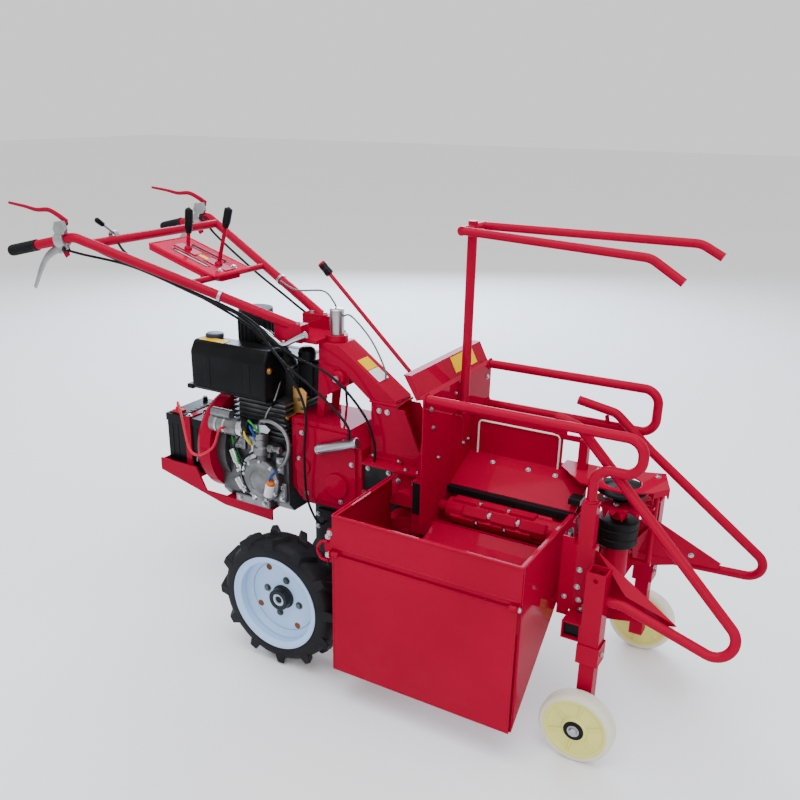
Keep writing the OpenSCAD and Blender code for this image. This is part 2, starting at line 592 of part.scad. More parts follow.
module leg(s) {
    difference() {
        union() {
            translate([leg_x, s * leg_y, 0]) difference() {
                box([-socket_s / 2, -socket_s / 2, socket_z0], [socket_s / 2, socket_s / 2, socket_z1]);
                box([-leg_s / 2 - leg_fit, -leg_s / 2 - leg_fit, socket_z0 - 1],
                    [leg_s / 2 + leg_fit, leg_s / 2 + leg_fit, socket_z1 + 1]);
            }
            box([leg_x - leg_s / 2, s * leg_y - leg_s / 2, front_z - leg_s / 2],
                [leg_x + leg_s / 2, s * leg_y + leg_s / 2, socket_z1 - 35]);
            box([leg_x - socket_s / 2 - 4, s * leg_y - socket_s / 2 - 4, socket_z0 - 62],
                [leg_x + socket_s / 2 + 4, s * leg_y + socket_s / 2 + 4, socket_z0 - 8]);
            box([leg_x - socket_s / 2, s * leg_y - socket_s / 2, socket_z0 - 9],
                [leg_x + socket_s / 2, s * leg_y + socket_s / 2, socket_z0 + 8]);
        }
        along_y(leg_x, s * leg_y - 40, s * leg_y + 40, socket_z1 - 20, pin_hole_r);
    }
    along_y(leg_x, s > 0 ? leg_y : -front_half_track - front_w / 2 - 8,
        s > 0 ? front_half_track + front_w / 2 + 8 : -leg_y, front_z, stub_d / 2);
}
module leg_right() color("red") in_frame() leg(-1);
module leg_left() color("red") in_frame() leg(1);
module beaks() color("red") in_frame() {
    top = [beam_x1, -loop_y, beam_top + 180];
    tip = [leg_x + 196, -nose_y + 10, beam_top + 52];
    corner_sheet(top, [leg_x + 67, -nose_y + 10, beam_top + 92], tip, sheet_t);
    corner_sheet([beam_x1, -loop_y + 40, beam_top - 36], top - [0, 2, 2], tip - [0, 2, 2], sheet_t);
    left_top = [beam_x1 + 52, loop_y - 15, beam_top + 117];
    left_tip = [leg_x + 212, nose_y - 10, beam_top + 4];
    left_low = [beam_x1, loop_y - 15, beam_top - 46];
    corner_sheet(left_top, left_low, left_tip, sheet_t);
    corner_sheet(left_top, [beam_x1, loop_y - 55, beam_top + 47], left_low, sheet_t);
    corner_sheet(left_top, [leg_x + 67, nose_y - 7, beam_top - 6], left_tip, sheet_t);
}
module divider_right() color("red") in_frame() {
    bent_tube(right_route, nose_r, tube_d);
}
module divider_left() color("red") in_frame() {
    bent_tube(left_route, nose_r, tube_d);
}
module loop_right() color("red") in_frame()
    bent_tube([[face_x, -loop_y, loop_z1], [loop_x1, -loop_y, loop_z1], [loop_x1, -loop_y, loop_z0],
        [col_x, -loop_y, loop_z0], [col_x, -loop_y, col_z1]], loop_bend, tube_d);
module loop_left() color("red") in_frame() {
    bent_tube([[face_x, loop_y, loop_z1], [left_loop_x1, loop_y, loop_z1],
        [left_loop_x1, loop_y, left_loop_z0], [face_x, loop_y, left_loop_z0]], loop_bend, tube_d);
    rod([left_loop_x1 - 133, loop_y, left_loop_z0], [left_loop_x1 - 133, loop_y - tube_d / 2 - 6,
        left_loop_z0 + 32], 12);
}
module mast() color("red") in_frame() {
    rod([mast_x, 0, hood_z1 - 154], [mast_x, 0, mast_z1], tube_d);
    box([face_x, -7.5, hood_z1 - 144], [face_x + 6, 18, hood_z1 - 74]);
    rod([mast_x, -guide_y - 8, mast_z1 - 20], [mast_x, guide_y + 8, mast_z1 - 20], tube_d - 2);
    bent_tube([[mast_x, -guide_y, mast_z1 - 20], [guide_x1 - 82, -guide_y, mast_z1 - 46],
        [guide_x1, -guide_y, mast_z1 - 96]], 60, tube_d - 4);
    bent_tube([[mast_x, guide_y, mast_z1 - 20], [left_guide_x1 - 54, guide_y, mast_z1 - 21],
        [left_guide_x1, guide_y, mast_z1 - 49]], 60, tube_d - 4);
}
module feed_bearing() color("red") in_frame() along_z(feed_x, feed_y, beam_top, drum_z, 38);
module feed_drum() color("black") in_frame() along_z(feed_x, feed_y, drum_z + gap, drum_z + gap + drum_h,
    drum_r);
module star_wheel() color("red") in_frame() {
    along_z(feed_x, feed_y, drum_z + gap + drum_h, star_z + 4, 24);
    translate([feed_x, feed_y, star_z]) linear_extrude(8) {
        circle(r = 66, $fn = 48);
        for (i = [0 : star_n - 1]) rotate(i * 360 / star_n) polygon([[0, -24], [star_r, -5], [star_r, 5],
            [0, 24]]);
    }
    for (i = [0 : star_n - 1]) translate([feed_x, feed_y, star_z + 1]) rotate(22.5 + i * 360 / star_n)
        translate([60, 0, 0]) rotate([90, 0, 90])
        linear_extrude(5) polygon([[-17, 0], [17, 0], [11, 0], [0, -30], [-11, 0]]);
}
module feed_cover() color("red") in_frame() {
    difference() {
        translate([0, 0, cover_z]) linear_extrude(4) polygon([[deck_x1 - 85, 70], [deck_x1, -20],
            [feed_x + 27, -24], [feed_x + 92, 18], [feed_x + 122, 66], [feed_x + 86, feed_y + 122],
            [feed_x - 40, feed_y + 78], [deck_x1 - 85, 120]]);
        along_z(feed_x, feed_y, cover_z - 1, cover_z + 5, cover_hole_r);
    }
    translate([feed_x + 122, 66, cover_z - 26]) rotate(atan2(feed_y + 56, -36)) box([0, 0, 0],
        [108, 4, 28]);
    translate([feed_x + 92, 18, cover_z - 14]) rotate(atan2(48, 30)) box([0, 0, 0], [57, 4, 16]);
    along_z(beam_x1 + 52, feed_y + 108, beam_top - 8, cover_z + 1, 8);
    box([beam_x1, feed_y + 101, beam_top - 16], [beam_x1 + 60, feed_y + 115, beam_top - 6]);
}
module chain_cover() color("red") in_frame() {
    box([face_x - case_l - 104, -84, plate_z - 98], [face_x - case_l - 1, -80, plate_z - 10]);
    intersection() {
        along_y(face_x - case_l - 45, -128, -82, plate_z - 94, 42);
        box([face_x - case_l - 104, -140, plate_z - 96], [face_x - case_l, -80, plate_z]);
    }
}
module chute() color("red") in_frame()
    cross_sheet(face_x, bin_x1 - sheet_t, [[-141, roll_z - 15], [-141, roll_z - 12], [-176, roll_z - 26],
        [-206, roll_z - 38], [-206, roll_z - 41], [-176, roll_z - 29]]);
module clutch_rod() color("red") in_frame() {
    rod([swivel_x - 25, 0, arm_z1 + 200], [face_x - case_l - 14, 0, hood_z1 - 139], 12);
    rod([swivel_x - 25, 0, arm_z1 + 200], [swivel_x - 55, 0, arm_z1 + 228], 24);
    box([face_x - case_l - 22, -12, hood_z1 - 154], [face_x - case_l, 12, hood_z1 - 128]);
}

module handlebar_frame() color("red") in_frame() {
    difference() {
        union() {
            along_z(swivel_x, 0, arm_z1 + gap, arm_z1 + gap + ring_h, swivel_pin_r + 17);
            box([bar_x - 90, -80, arm_z1 + gap], [swivel_x - 20, 80, arm_z1 + gap + 12]);
            for (s = [-1, 1]) box([bar_x - 90, s * 74 - 20, arm_z1 + gap],
                [bar_x + 10, s * 74 + 20, arm_z1 + 55]);
        }
        along_z(swivel_x, 0, arm_z1 - 1, arm_z1 + ring_h + 60, swivel_pin_r + swivel_fit);
    }
    for (s = [-1, 1]) bent_tube([bar_at(s, bar_x), bar_at(s, bend_x), grip_at(s, grip_len - grip_l)],
        60, bar_d);
    rod(bar_at(-1, bend_x + 52), bar_at(1, bend_x + 52), bar_d - 2);
    rod([panel_bar_x, bar_at(-1, panel_bar_x).y, panel_top(panel_bar_x) - 14.8],
        [panel_bar_x, bar_at(1, panel_bar_x).y, panel_top(panel_bar_x) - 14.8], 20);
}
module grips() color("black") in_frame()
    for (s = [-1, 1]) rod(grip_at(s, grip_len - grip_l), grip_at(s, grip_len), grip_d);
module hand_levers() color("red") in_frame()
    for (s = [-1, 1]) {
        side_sheet(s * (bend_y + 6) - 4, s * (bend_y + 6) + 4, [[bend_x - 18, bend_z + 46],
            [bend_x - 18, bend_z + 58], [bend_x - 96, bend_z + 82], [bend_x - 150, bend_z + 80],
            [lever_tip_x, bend_z + 93], [lever_tip_x, bend_z + 79], [bend_x - 150, bend_z + 64],
                [bend_x - 96, bend_z + 64], [bend_x - 58, bend_z + 46]]);
        along_y(lever_tip_x, s * (bend_y + 6) - 4, s * (bend_y + 6) + 4, bend_z + 86, lever_w / 2);
    }
module lever_clamps() color("gray") in_frame()
    for (s = [-1, 1]) {
        difference() {
            union() {
                rod(grip_at(s, 30), grip_at(s, 66), bar_d + 18);
                box([bend_x - 50, s * (bend_y + 6) - 7, bend_z + 8], [bend_x - 18, s * (bend_y + 6)
                    + 7, bend_z + 46]);
                side_sheet(s * (bend_y + 6) - 6, s * (bend_y + 6) + 6, [[bend_x - 24, bend_z - 35],
                    [bend_x - 44, bend_z - 15], [bend_x - 123, bend_z - 67],
                    [bend_x - 193, bend_z - 157], [bend_x - 203, bend_z - 177],
                    [bend_x - 183, bend_z - 172], [bend_x - 108, bend_z - 87]]);
            }
            rod(grip_at(s, 10), grip_at(s, 110), bar_d + 0.6);
        }
    }
module control_panel() color("red") in_frame() difference() {
    union() {
        side_sheet(-90, 90, [[panel_x0, panel_top(panel_x0) - 4], [panel_x0, panel_top(panel_x0)],
            [panel_x1, panel_top(panel_x1)], [panel_x1, panel_top(panel_x1) - 4]]);
        for (s = [-1, 1]) side_sheet(s * 88 - 2, s * 88 + 2, [[panel_x0, panel_top(panel_x0) - 22],
            [panel_x0, panel_top(panel_x0)], [panel_x1, panel_top(panel_x1)],
            [panel_x1, panel_top(panel_x1) - 3], [panel_bar_x - 14, panel_top(panel_bar_x - 14) - 3],
            [panel_bar_x - 24, panel_top(panel_bar_x - 24) - 22]]);
        box([panel_x0, -90, panel_top(panel_x0) - 22], [panel_x0 + 4, 90, panel_top(panel_x0) - 1.5]);
    }
    for (y = [-44, 44]) box([panel_x0 + 60, y - 9, panel_top(panel_x1) - 60],
        [panel_x1 - 60, y + 9, panel_top(panel_x0) + 40]);
}
module gear_levers() color("black") in_frame()
    for (x = lever_xs) {
        side_sheet(-20, 20, [[x.x - 44, panel_top(x.x - 44)], [x.x - 44, panel_top(x.x - 44) + 3],
            [x.x + 44, panel_top(x.x + 44) + 3], [x.x + 44, panel_top(x.x + 44)]]);
        foot = [x[0], 0, panel_top(x[0]) + 3.6];
        tip = [x[1], 0, x[2]];
        rod(foot, tip, 13);
        rod(tip - unit(tip - foot) * x[3], tip, 27);
        along_z(x[0], 0, panel_top(x[0]) + 4.2, panel_top(x[0]) + 15, 12);
    }

// cable routes, from the hand levers along the bars down to the gears
function by_bar(s, x, dy, dz) = bar_at(s, x) + [0, -s * dy, dz];
function clamp_side(s, d) = grip_at(s, d) + unit(cross(grip_dir(s), [0,
    0, -s])) * (bar_d / 2 + cable_d / 2 + 1.4);
cover_y = gear_half_w + cover_t;
bar_out = 118;
cable_routes = [
    [clamp_side(-1, 26.5), clamp_side(-1, 4), by_bar(-1, -720, 26, -26),
        by_bar(-1, -480, 26, -32), by_bar(-1, -280, 8, -36), [-130, -bar_out, arm_z1 - 22],
        [20, -100, arm_z1 - 82], [122, -84, plate_z + 150], [158, -78, plate_z + 60],
        [160, -78, plate_z + 0.4]],
    [by_bar(-1, -640, 42, -38), by_bar(-1, -460, 40, -44), by_bar(-1, -280,
        20, -52), [-150, -bar_out - 4, arm_z1 - 50], [0, -bar_out - 6, arm_z1 - 140],
        [88, -cover_y - 20, gear_z1 + 24], [gear_x1 - 30, -cover_y - 17, gear_z1 - 24.6]],
    [by_bar(-1, -600, 56, -30), by_bar(-1, -440, 52, -50), by_bar(-1, -250,
        10, -70), [-120, -bar_out - 2, arm_z1 - 90], [-64, -bar_out, gear_z1 + 40],
        [-62, -cover_y - 30, gear_z1 - 90], [-66, -cover_y - 18, gear_z0 + 40],
        [-46, -cover_y - 8, gear_z0 - 36], [-30, -92, gear_z0 - 70], [-30, -68.5, gear_z0 - 70]],
    [clamp_side(1, 26.5), clamp_side(1, 4), by_bar(1, -720, 26, -26), by_bar(1,
        -480, 26, -32), by_bar(1, -280, 8, -36), [-130, bar_out, arm_z1 - 22],
        [-80, bar_out + 4, gear_z1 + 100], [-64, cover_y + 24, gear_z1 - 60],
        [-60, cover_y + 28, gear_z1 - 160], [-58, cover_y + 18, gear_z1 - 190],
        [-58, cover_y + 0.5, gear_z1 - 190]]];
thin_routes = [
    [by_bar(1, -330, 20, 8), by_bar(1, -230, 36, 34), [-90, 24, arm_z1 + 140],
        [swivel_x - 14, 2, arm_z1 + 118], [swivel_x, 0, arm_z1 + ring_h + lock_h + 0.4]],
    [[swivel_x + swivel_pin_r + 5.4, 0, arm_z1 + 78], [30, 0, arm_z1 + 80], [100, -4, arm_z1 + 20],
        [146, -2, arm_z1 - 60], [150, 0, arm_z1 - 97]]];
module control_cables() color("black") in_frame() {
    for (p = cable_routes) cord(p, 22, cable_d);
    for (p = thin_routes) cord(p, 10, cable_d - 2.5);
}
module battery_lead() color("red") in_frame()
    cord([[battery_x0 + 30, -70, tray_z + battery_h + 16.4],
        [battery_x0 + 44, -84, tray_z + battery_h + 40],
        [battery_x0 + 110, -138, tray_z + battery_h + 10], [engine_x0 - 70, -196, fan_z + 10],
        [engine_x0 - 20, -206, fan_z], [engine_x0 + 40, -204, fan_z + 40],
            [engine_x0 + 62, -196, engine_z1 + 36], [engine_x0 + 64, -engine_half_w - 62.4,
            engine_z1 + 40]], 20, lead_d);

module tyre(s) translate([0, s * half_track, axle_z]) rotate([90, 0, 0]) {
    body_r = wheel_r - lug_h;
    rotate_extrude($fn = 96) polygon([[rim_r - 14, -tyre_w / 2 + 14], [rim_r + 2, -tyre_w / 2],
        [body_r - 22, -tyre_w / 2], [body_r, -tyre_w / 2 + 26],
        [body_r, tyre_w / 2 - 26], [body_r - 22, tyre_w / 2], [rim_r + 2, tyre_w / 2],
            [rim_r - 14, tyre_w / 2 - 14]]);
    intersection() {
        cylinder(r = wheel_r, h = tyre_w, center = true, $fn = 96);
        for (i = [0 : lug_count - 1], t = [-1, 1])
            rotate(i * 360 / lug_count + (t + 1) * 90 / lug_count - 90) translate([0, 0, t * tyre_w / 4])
                rotate([t * 34, 0, 0]) box([body_r - 12, -13, -tyre_w / 4 - 12],
                    [wheel_r + 10, 13, tyre_w / 4 + 12]);
    }
}
module rim(s) translate([0, s * half_track, axle_z]) rotate([s * 90, 0, 0]) mirror([0, 0, 1]) difference() {
    rotate_extrude($fn = 96) polygon([[axle_bore_r, tyre_w / 2 - rim_recess + 26],
        [axle_bore_r, axle_half_w + gap - half_track], [hub_r + 10, axle_half_w + gap - half_track],
        [hub_r + 10, tyre_w / 2 - rim_recess - 6], [rim_r - 26, tyre_w / 2 - rim_recess - 6],
            [rim_r - 26, -tyre_w / 2 + 8], [rim_r, -tyre_w / 2 - 2], [rim_r, -tyre_w / 2 - 0.3],
            [rim_r - 14.3, -tyre_w / 2 + 14],
        [rim_r - 14.3, tyre_w / 2 - 14], [rim_r, tyre_w / 2 + 0.3], [rim_r, tyre_w / 2 + 2],
            [rim_r - 20, tyre_w / 2 - 6], [rim_r - 20, tyre_w / 2 - rim_recess],
        [hub_r, tyre_w / 2 - rim_recess], [hub_r, tyre_w / 2 - rim_recess + 26]]);
    for (i = [0 : 3]) rotate(i * 90 - s * 60) translate([disc_pcr, 0, tyre_w / 2 - rim_recess - 10])
        cylinder(r = 6.5, h = 20, $fn = 32);
}
module tyre_right() color("black") in_frame() tyre(-1);
module tyre_left() color("black") in_frame() tyre(1);
module rim_right() color("white") in_frame() rim(-1);
module rim_left() color("white") in_frame() rim(1);

module front_wheel(s) translate([leg_x, s * front_half_track, front_z]) rotate([90, 0, 0])
    rotate_extrude($fn = 96) polygon([[stub_d / 2 + 0.05, -front_w / 2 - 4], [34, -front_w / 2 - 4],
        [34, -front_w / 2 + 6], [front_d / 2 - 24, -front_w / 2 + 6], [front_d / 2 - 20, -front_w / 2],
        [front_d / 2 - 6, -front_w / 2], [front_d / 2, -front_w / 2 + 6], [front_d / 2, front_w / 2 - 6],
            [front_d / 2 - 6, front_w / 2], [front_d / 2 - 20, front_w / 2],
        [front_d / 2 - 24, front_w / 2 - 6], [34, front_w / 2 - 6], [34, front_w / 2 + 4],
            [stub_d / 2 + 0.05, front_w / 2 + 4]]);
module front_wheel_right() color("ivory") in_frame() front_wheel(-1);
module front_wheel_left() color("ivory") in_frame() front_wheel(1);

module roll(s) {
    y = nip_y + s * roll_pitch / 2;
    along_x(face_x + gap, face_x + 40, y, roll_z, 16);
    along_x(deck_x1 - 20, deck_x1 + 5, y, roll_z, 12);
    along_x(face_x + 30, deck_x1 - 12, y, roll_z, roll_r - 9);
    for (i = [0 : 5], j = [0 : 2]) translate([face_x + 44 + (i % 2) * block_l / 2 + j * (block_l + 8),
        y, roll_z]) rotate([i * 60 + (s > 0 ? 30 : 0), 0, 0])
        box([0, -15.5, 0], [block_l, 15.5, roll_r - 3]);
}
module roll_right() color("red") in_frame() roll(-1);
module roll_left() color("red") in_frame() roll(1);

gearbox();
axle_housing();
tie_bar();
engine_block();
fan_shroud();
fuel_tank();
air_cleaner();
muffler();
starter_motor();
battery();
battery_strap();
engine_frame();
arm();
lock_housing();
head_post();
head_case();
hood();
head_frame();
left_deck();
rubber_strip();
bin();
right_column();
cross_beam();
leg_right();
leg_left();
beaks();
divider_right();
divider_left();
loop_right();
loop_left();
mast();
feed_bearing();
feed_cover();
chain_cover();
chute();
clutch_rod();
handlebar_frame();
grips();
hand_levers();
lever_clamps();
control_panel();
gear_levers();
tyre_right();
rim_right();
tyre_left();
rim_left();
front_wheel_right();
front_wheel_left();
roll_right();
roll_left();
feed_drum();
star_wheel();
bin_door();
control_cables();
battery_lead();
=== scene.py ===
import math
import bmesh
import bpy
import numpy as np
from mathutils import Matrix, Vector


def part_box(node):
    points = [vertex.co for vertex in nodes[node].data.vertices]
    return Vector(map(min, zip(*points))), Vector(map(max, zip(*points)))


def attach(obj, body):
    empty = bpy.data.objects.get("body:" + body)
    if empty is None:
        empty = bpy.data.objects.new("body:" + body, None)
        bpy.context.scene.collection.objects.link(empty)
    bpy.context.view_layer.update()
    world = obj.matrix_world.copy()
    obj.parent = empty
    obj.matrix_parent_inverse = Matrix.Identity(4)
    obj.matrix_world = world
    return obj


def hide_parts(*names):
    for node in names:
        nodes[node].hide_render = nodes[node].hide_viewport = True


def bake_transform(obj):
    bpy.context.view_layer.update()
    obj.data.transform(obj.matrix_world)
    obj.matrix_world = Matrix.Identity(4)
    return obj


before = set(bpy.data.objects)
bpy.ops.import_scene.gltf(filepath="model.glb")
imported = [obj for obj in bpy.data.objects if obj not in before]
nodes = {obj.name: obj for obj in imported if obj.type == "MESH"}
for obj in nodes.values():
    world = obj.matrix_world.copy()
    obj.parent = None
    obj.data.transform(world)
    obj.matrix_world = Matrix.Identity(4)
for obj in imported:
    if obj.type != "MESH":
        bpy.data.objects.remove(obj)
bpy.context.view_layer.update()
print("frame loaded:", len(nodes), "nodes")

# The machine's own axes: millimetres from the ground under the drive axle's middle
lowRight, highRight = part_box("rim_right")
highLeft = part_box("rim_left")[1]
origin = np.array([(lowRight.x + highRight.x) / 2, (lowRight.y + highLeft.y) / 2, 0.0])


# millimetres on the machine's axes into metres of the frame: a thousandth, plus the axes' place
def at(points):
    return np.asarray(points, float).reshape(-1, 3) / 1000 + origin


# each vector over its own length
def unit(v):
    v = np.asarray(v, float)
    return v / np.linalg.norm(v, axis=-1, keepdims=True)


# the photograph's camera: place, heading, pitch and roll, and its lens in pixels of the picture
view = dict(place=(1437.4, -2213.2, 1617.6), heading=31.41, pitch=21.57, roll=0.35,
            focalPx=890.8, middlePx=(367.0, 450.6), imagePx=800)


# backwards from heading and pitch; right and up are square to that, then turned by the roll
def setCamera():
    az, el, ro = (math.radians(view[k]) for k in ("heading", "pitch", "roll"))
    back = np.array([math.sin(az) * math.cos(el), -math.cos(az) * math.cos(el), math.sin(el)])
    right = unit(np.cross(-back, (0, 0, 1)))
    up = np.cross(back, right)
    right, up = (math.cos(ro) * right + math.sin(ro) * up, math.cos(ro) * up - math.sin(ro) * right)
    lens = bpy.data.cameras.new("photoCamera")
    lens.sensor_width = 36
    lens.lens = view["focalPx"] / view["imagePx"] * lens.sensor_width
    lens.shift_x = 0.5 - view["middlePx"][0] / view["imagePx"]
    lens.shift_y = view["middlePx"][1] / view["imagePx"] - 0.5
    lens.clip_end = 50
    camera = bpy.data.objects.new("photoCamera", lens)
    bpy.context.scene.collection.objects.link(camera)
    turn = Matrix([[*row] for row in np.stack([right, up, back], 1)]).to_4x4()
    camera.matrix_world = Matrix.Translation(at(view["place"])[0]) @ turn
    bpy.context.scene.camera = camera


# lamps: name, place, aim, size, power and colour; the one behind gives upward faces their sheen
studio = dict(worldStrength=1.05, worldColour=(1.0, 1.0, 1.0),
              lamps=[("overhead", (0.3, -0.8, 4.4), (0.0, 0.0, 0.4), 4.5, 220, (0.86, 0.9, 1.0)),
                     ("nearSide", (2.4, -3.6, 2.4), (0.1, 0.0, 0.5), 2.4, 40, (1.0, 0.98, 0.95)),
                     ("skyBehind", (-2.6, 4.6, 2.9), (0.1, 0.0, 0.6), 3.6, 430, (0.66, 0.8, 1.0))])


def setStudio():
    world = bpy.data.worlds.new("studio")
    world.use_nodes = True
    back = world.node_tree.nodes["Background"]
    back.inputs["Color"].default_value = (*studio["worldColour"], 1)
    back.inputs["Strength"].default_value = studio["worldStrength"]
    bpy.context.scene.world = world
    for name, place, aim, size, power, colour in studio["lamps"]:
        lamp = bpy.data.lights.new(name, "AREA")
        lamp.size = size
        lamp.energy = power
        lamp.color = colour
        holder = bpy.data.objects.new(name, lamp)
        bpy.context.scene.collection.objects.link(holder)
        back = unit(np.array(place) - np.array(aim))
        side = unit(np.cross((0, 0.01, 1), back))
        turn = Matrix([[*row] for row in np.stack([side, np.cross(back, side), back], 1)]).to_4x4()
        holder.matrix_world = Matrix.Translation(place) @ turn


setCamera()
setStudio()
print("camera and light set")


# shader sockets as Python values: arithmetic on them adds Math nodes
class Sock:
    def __init__(self, paint, link):
        self.paint = paint
        self.link = link

    def sum(self, operation, a, b):
        return self.paint.node("ShaderNodeMath", dict(operation=operation), {0: a, 1: b})

    def __add__(self, other):
        return self.sum("ADD", self, other)

    def __radd__(self, other):
        return self.sum("ADD", other, self)

    def __sub__(self, other):
        return self.sum("SUBTRACT", self, other)

    def __rsub__(self, other):
        return self.sum("SUBTRACT", other, self)

    def __mul__(self, other):
        return self.sum("MULTIPLY", self, other)

    def __rmul__(self, other):
        return self.sum("MULTIPLY", other, self)


class Paint:
    def __init__(self, name, **constants):
        self.material = bpy.data.materials.new(name)
        self.material.use_nodes = True
        self.tree = self.material.node_tree
        self.shader = self.tree.nodes["Principled BSDF"]
        self.set(**constants)
        self.place = self.node("ShaderNodeTexCoord", {}, {}, "Object")

    # any node: its type, its settings, then the values or links of its sockets
    def node(self, kind, settings, sockets, out=0):
        made = self.tree.nodes.new(kind)
        for key, value in settings.items():
            setattr(made, key, value)
        for key, value in sockets.items():
            self.plug(made.inputs[key], value)
        return Sock(self, made.outputs[out])

    def plug(self, socket, value):
        if isinstance(value, Sock):
            self.tree.links.new(value.link, socket)
        elif isinstance(value, tuple) and socket.type == "RGBA":
            socket.default_value = (*value, 1)
        else:
            socket.default_value = value

    def set(self, **sockets):
        for key, value in sockets.items():
            self.plug(self.shader.inputs[key.replace("_", " ")], value)

    def noise(self, scale, detail=4, rough=0.55, stretch=(1, 1, 1)):
        where = self.place
        if stretch != (1, 1, 1):
            where = self.node("ShaderNodeMapping", {}, {"Vector": self.place, "Scale": stretch}, "Vector")
        sockets = {"Vector": where, "Scale": scale, "Detail": detail, "Roughness": rough}
        return self.node("ShaderNodeTexNoise", {}, sockets, "Fac")

    def ramp(self, value, low, high):
        sockets = {"Value": value, "From Min": low, "From Max": high}
        return self.node("ShaderNodeMapRange", dict(clamp=True), sockets, "Result")

    def height(self):
        return self.node("ShaderNodeSeparateXYZ", {}, {0: self.place}, "Z")

    def mix(self, amount, a, b):
        return self.node("ShaderNodeMix", dict(data_type="RGBA"), {0: amount, 6: a, 7: b}, 2)

    def bump(self, height, strength, distance, edge=0.0):
        sockets = {"Height": height, "Strength": strength, "Distance": distance}
        if edge:
            sockets["Normal"] = self.node("ShaderNodeBevel", dict(samples=4), {"Radius": edge}, "Normal")
        self.set(Normal=self.node("ShaderNodeBump", {}, sockets, "Normal"))


# glossy enamel: cloudy shade, fine orange peel, field dust low down, thin scuffs that dull the gloss
def enamel(name, colour, shade, dust, rough=0.22, coat=0.6, edge=0.0016, low=0.30, gloss=0.0):
    p = Paint(name, Coat_Roughness=0.06, Coat_IOR=1.22, Specular_IOR_Level=gloss)
    cloud = p.noise(3.1, 3)
    fine = p.noise(38, 5, 0.65)
    scuffs = p.ramp(p.noise(26, 6, 0.7, (1, 5, 1)), 0.67, 0.75)
    soil = p.ramp(low - p.height(), 0.0, 0.3) * p.ramp(p.noise(11, 6, 0.7), 0.42, 0.7)
    body = p.mix(p.ramp(cloud, 0.3, 0.7), colour, shade)
    p.set(Base_Color=p.mix(p.ramp(fine, 0.55, 0.8) * 0.05 + scuffs * 0.08 + soil * 0.22, body, dust))
    p.set(Roughness=rough + p.ramp(fine, 0.35, 0.75) * 0.1 + scuffs * 0.18 + soil * 0.2)
    p.set(Coat_Weight=coat - scuffs * 0.3 - soil * 0.2)
    p.bump(p.noise(420, 2) * 0.7 + cloud * 0.3, 0.05, 0.001, edge)
    return p.material


redPaint = enamel("redEnamel", (0.335, 0.0002, 0.024), (0.285, 0.0001, 0.02), (0.30, 0.04, 0.05), coat=0.42)
# the tray's enamel: the red enamel made lighter and given little coat, a painted sheen for the control
# panel's upward-facing top
trayPaintedSheen = enamel("trayEnamelPaintedSheen", (0.47, 0.0003, 0.035), (0.42, 0.0002, 0.03), (0.38, 0.04, 0.06), 0.42, 0.1)
rimPaint = enamel("paleRimEnamel", (0.40, 0.58, 0.84), (0.35, 0.52, 0.78), (0.30, 0.27, 0.23), 0.3, 0.4,
                  gloss=0.25)
blackPaint = enamel("blackEnamel", (0.008, 0.008, 0.009), (0.013, 0.013, 0.014), (0.10, 0.09, 0.08), 0.36,
                    0.4, gloss=0.12)


# moulded plastic and rubber: a fine grain and greyish wear in patches
def moulded(name, colour, worn, grain, rough, depth=0.0006, wear=0.25, edge=0.0015, gloss=0.16):
    p = Paint(name, Specular_IOR_Level=gloss)
    patch = p.ramp(p.noise(9, 5, 0.6), 0.45, 0.75)
    fine = p.noise(grain, 3)
    p.set(Base_Color=p.mix(patch * wear + p.ramp(fine, 0.55, 0.8) * 0.12, colour, worn))
    p.set(Roughness=rough + patch * 0.12 - p.ramp(fine, 0.5, 0.8) * 0.05)
    p.bump(fine, 0.25, depth, edge)
    return p.material


blackPlastic = moulded("blackMoulding", (0.0035, 0.0035, 0.0045), (0.016, 0.016, 0.018), 300, 0.3,
                       gloss=0.1)
blackRubber = moulded("blackRubber", (0.005, 0.005, 0.006), (0.02, 0.019, 0.019), 220, 0.5, 0.0008,
                      gloss=0.12)
tyreRubber = moulded("tyreRubber", (0.005, 0.005, 0.007), (0.026, 0.024, 0.024), 130, 0.5, 0.001, 0.4,
                     gloss=0.13)
creamNylon = moulded("creamNylon", (0.70, 0.67, 0.19), (0.54, 0.52, 0.21), 160, 0.4, 0.0005, 0.35)
paleNylon = moulded("paleNylon", (0.70, 0.67, 0.53), (0.55, 0.52, 0.42), 140, 0.42, 0.0005, 0.35)
whiteRubber = moulded("whiteRubber", (0.70, 0.68, 0.60), (0.52, 0.49, 0.42), 180, 0.55)
yellowVinyl = moulded("yellowVinyl", (0.78, 0.47, 0.0), (0.66, 0.42, 0.02), 90, 0.36, 0.0002, 0.15, 0.0,
                      0.02)
whiteVinyl = moulded("whiteVinyl", (0.72, 0.73, 0.75), (0.58, 0.59, 0.62), 90, 0.36, 0.0002, 0.25, 0.0)
greenWire = moulded("greenWire", (0.02, 0.26, 0.04), (0.02, 0.16, 0.03), 200, 0.4, 0.0003, 0.3, 0.0)
blueWire = moulded("blueWire", (0.01, 0.05, 0.30), (0.01, 0.03, 0.18), 200, 0.4, 0.0003, 0.3, 0.0)
yellowWire = moulded("yellowWire", (0.62, 0.45, 0.02), (0.45, 0.32, 0.02), 200, 0.4, 0.0003, 0.3, 0.0)
redWire = moulded("redWire", (0.52, 0.003, 0.03), (0.36, 0.002, 0.02), 200, 0.38, 0.0003, 0.3, 0.0)
orangeCap = moulded("orangeCap", (0.60, 0.13, 0.01), (0.44, 0.09, 0.01), 160, 0.4, 0.0003, 0.3)
rustSpot = moulded("rustSpot", (0.20, 0.07, 0.02), (0.08, 0.03, 0.012), 120, 0.8, 0.001, 0.8, 0.0)


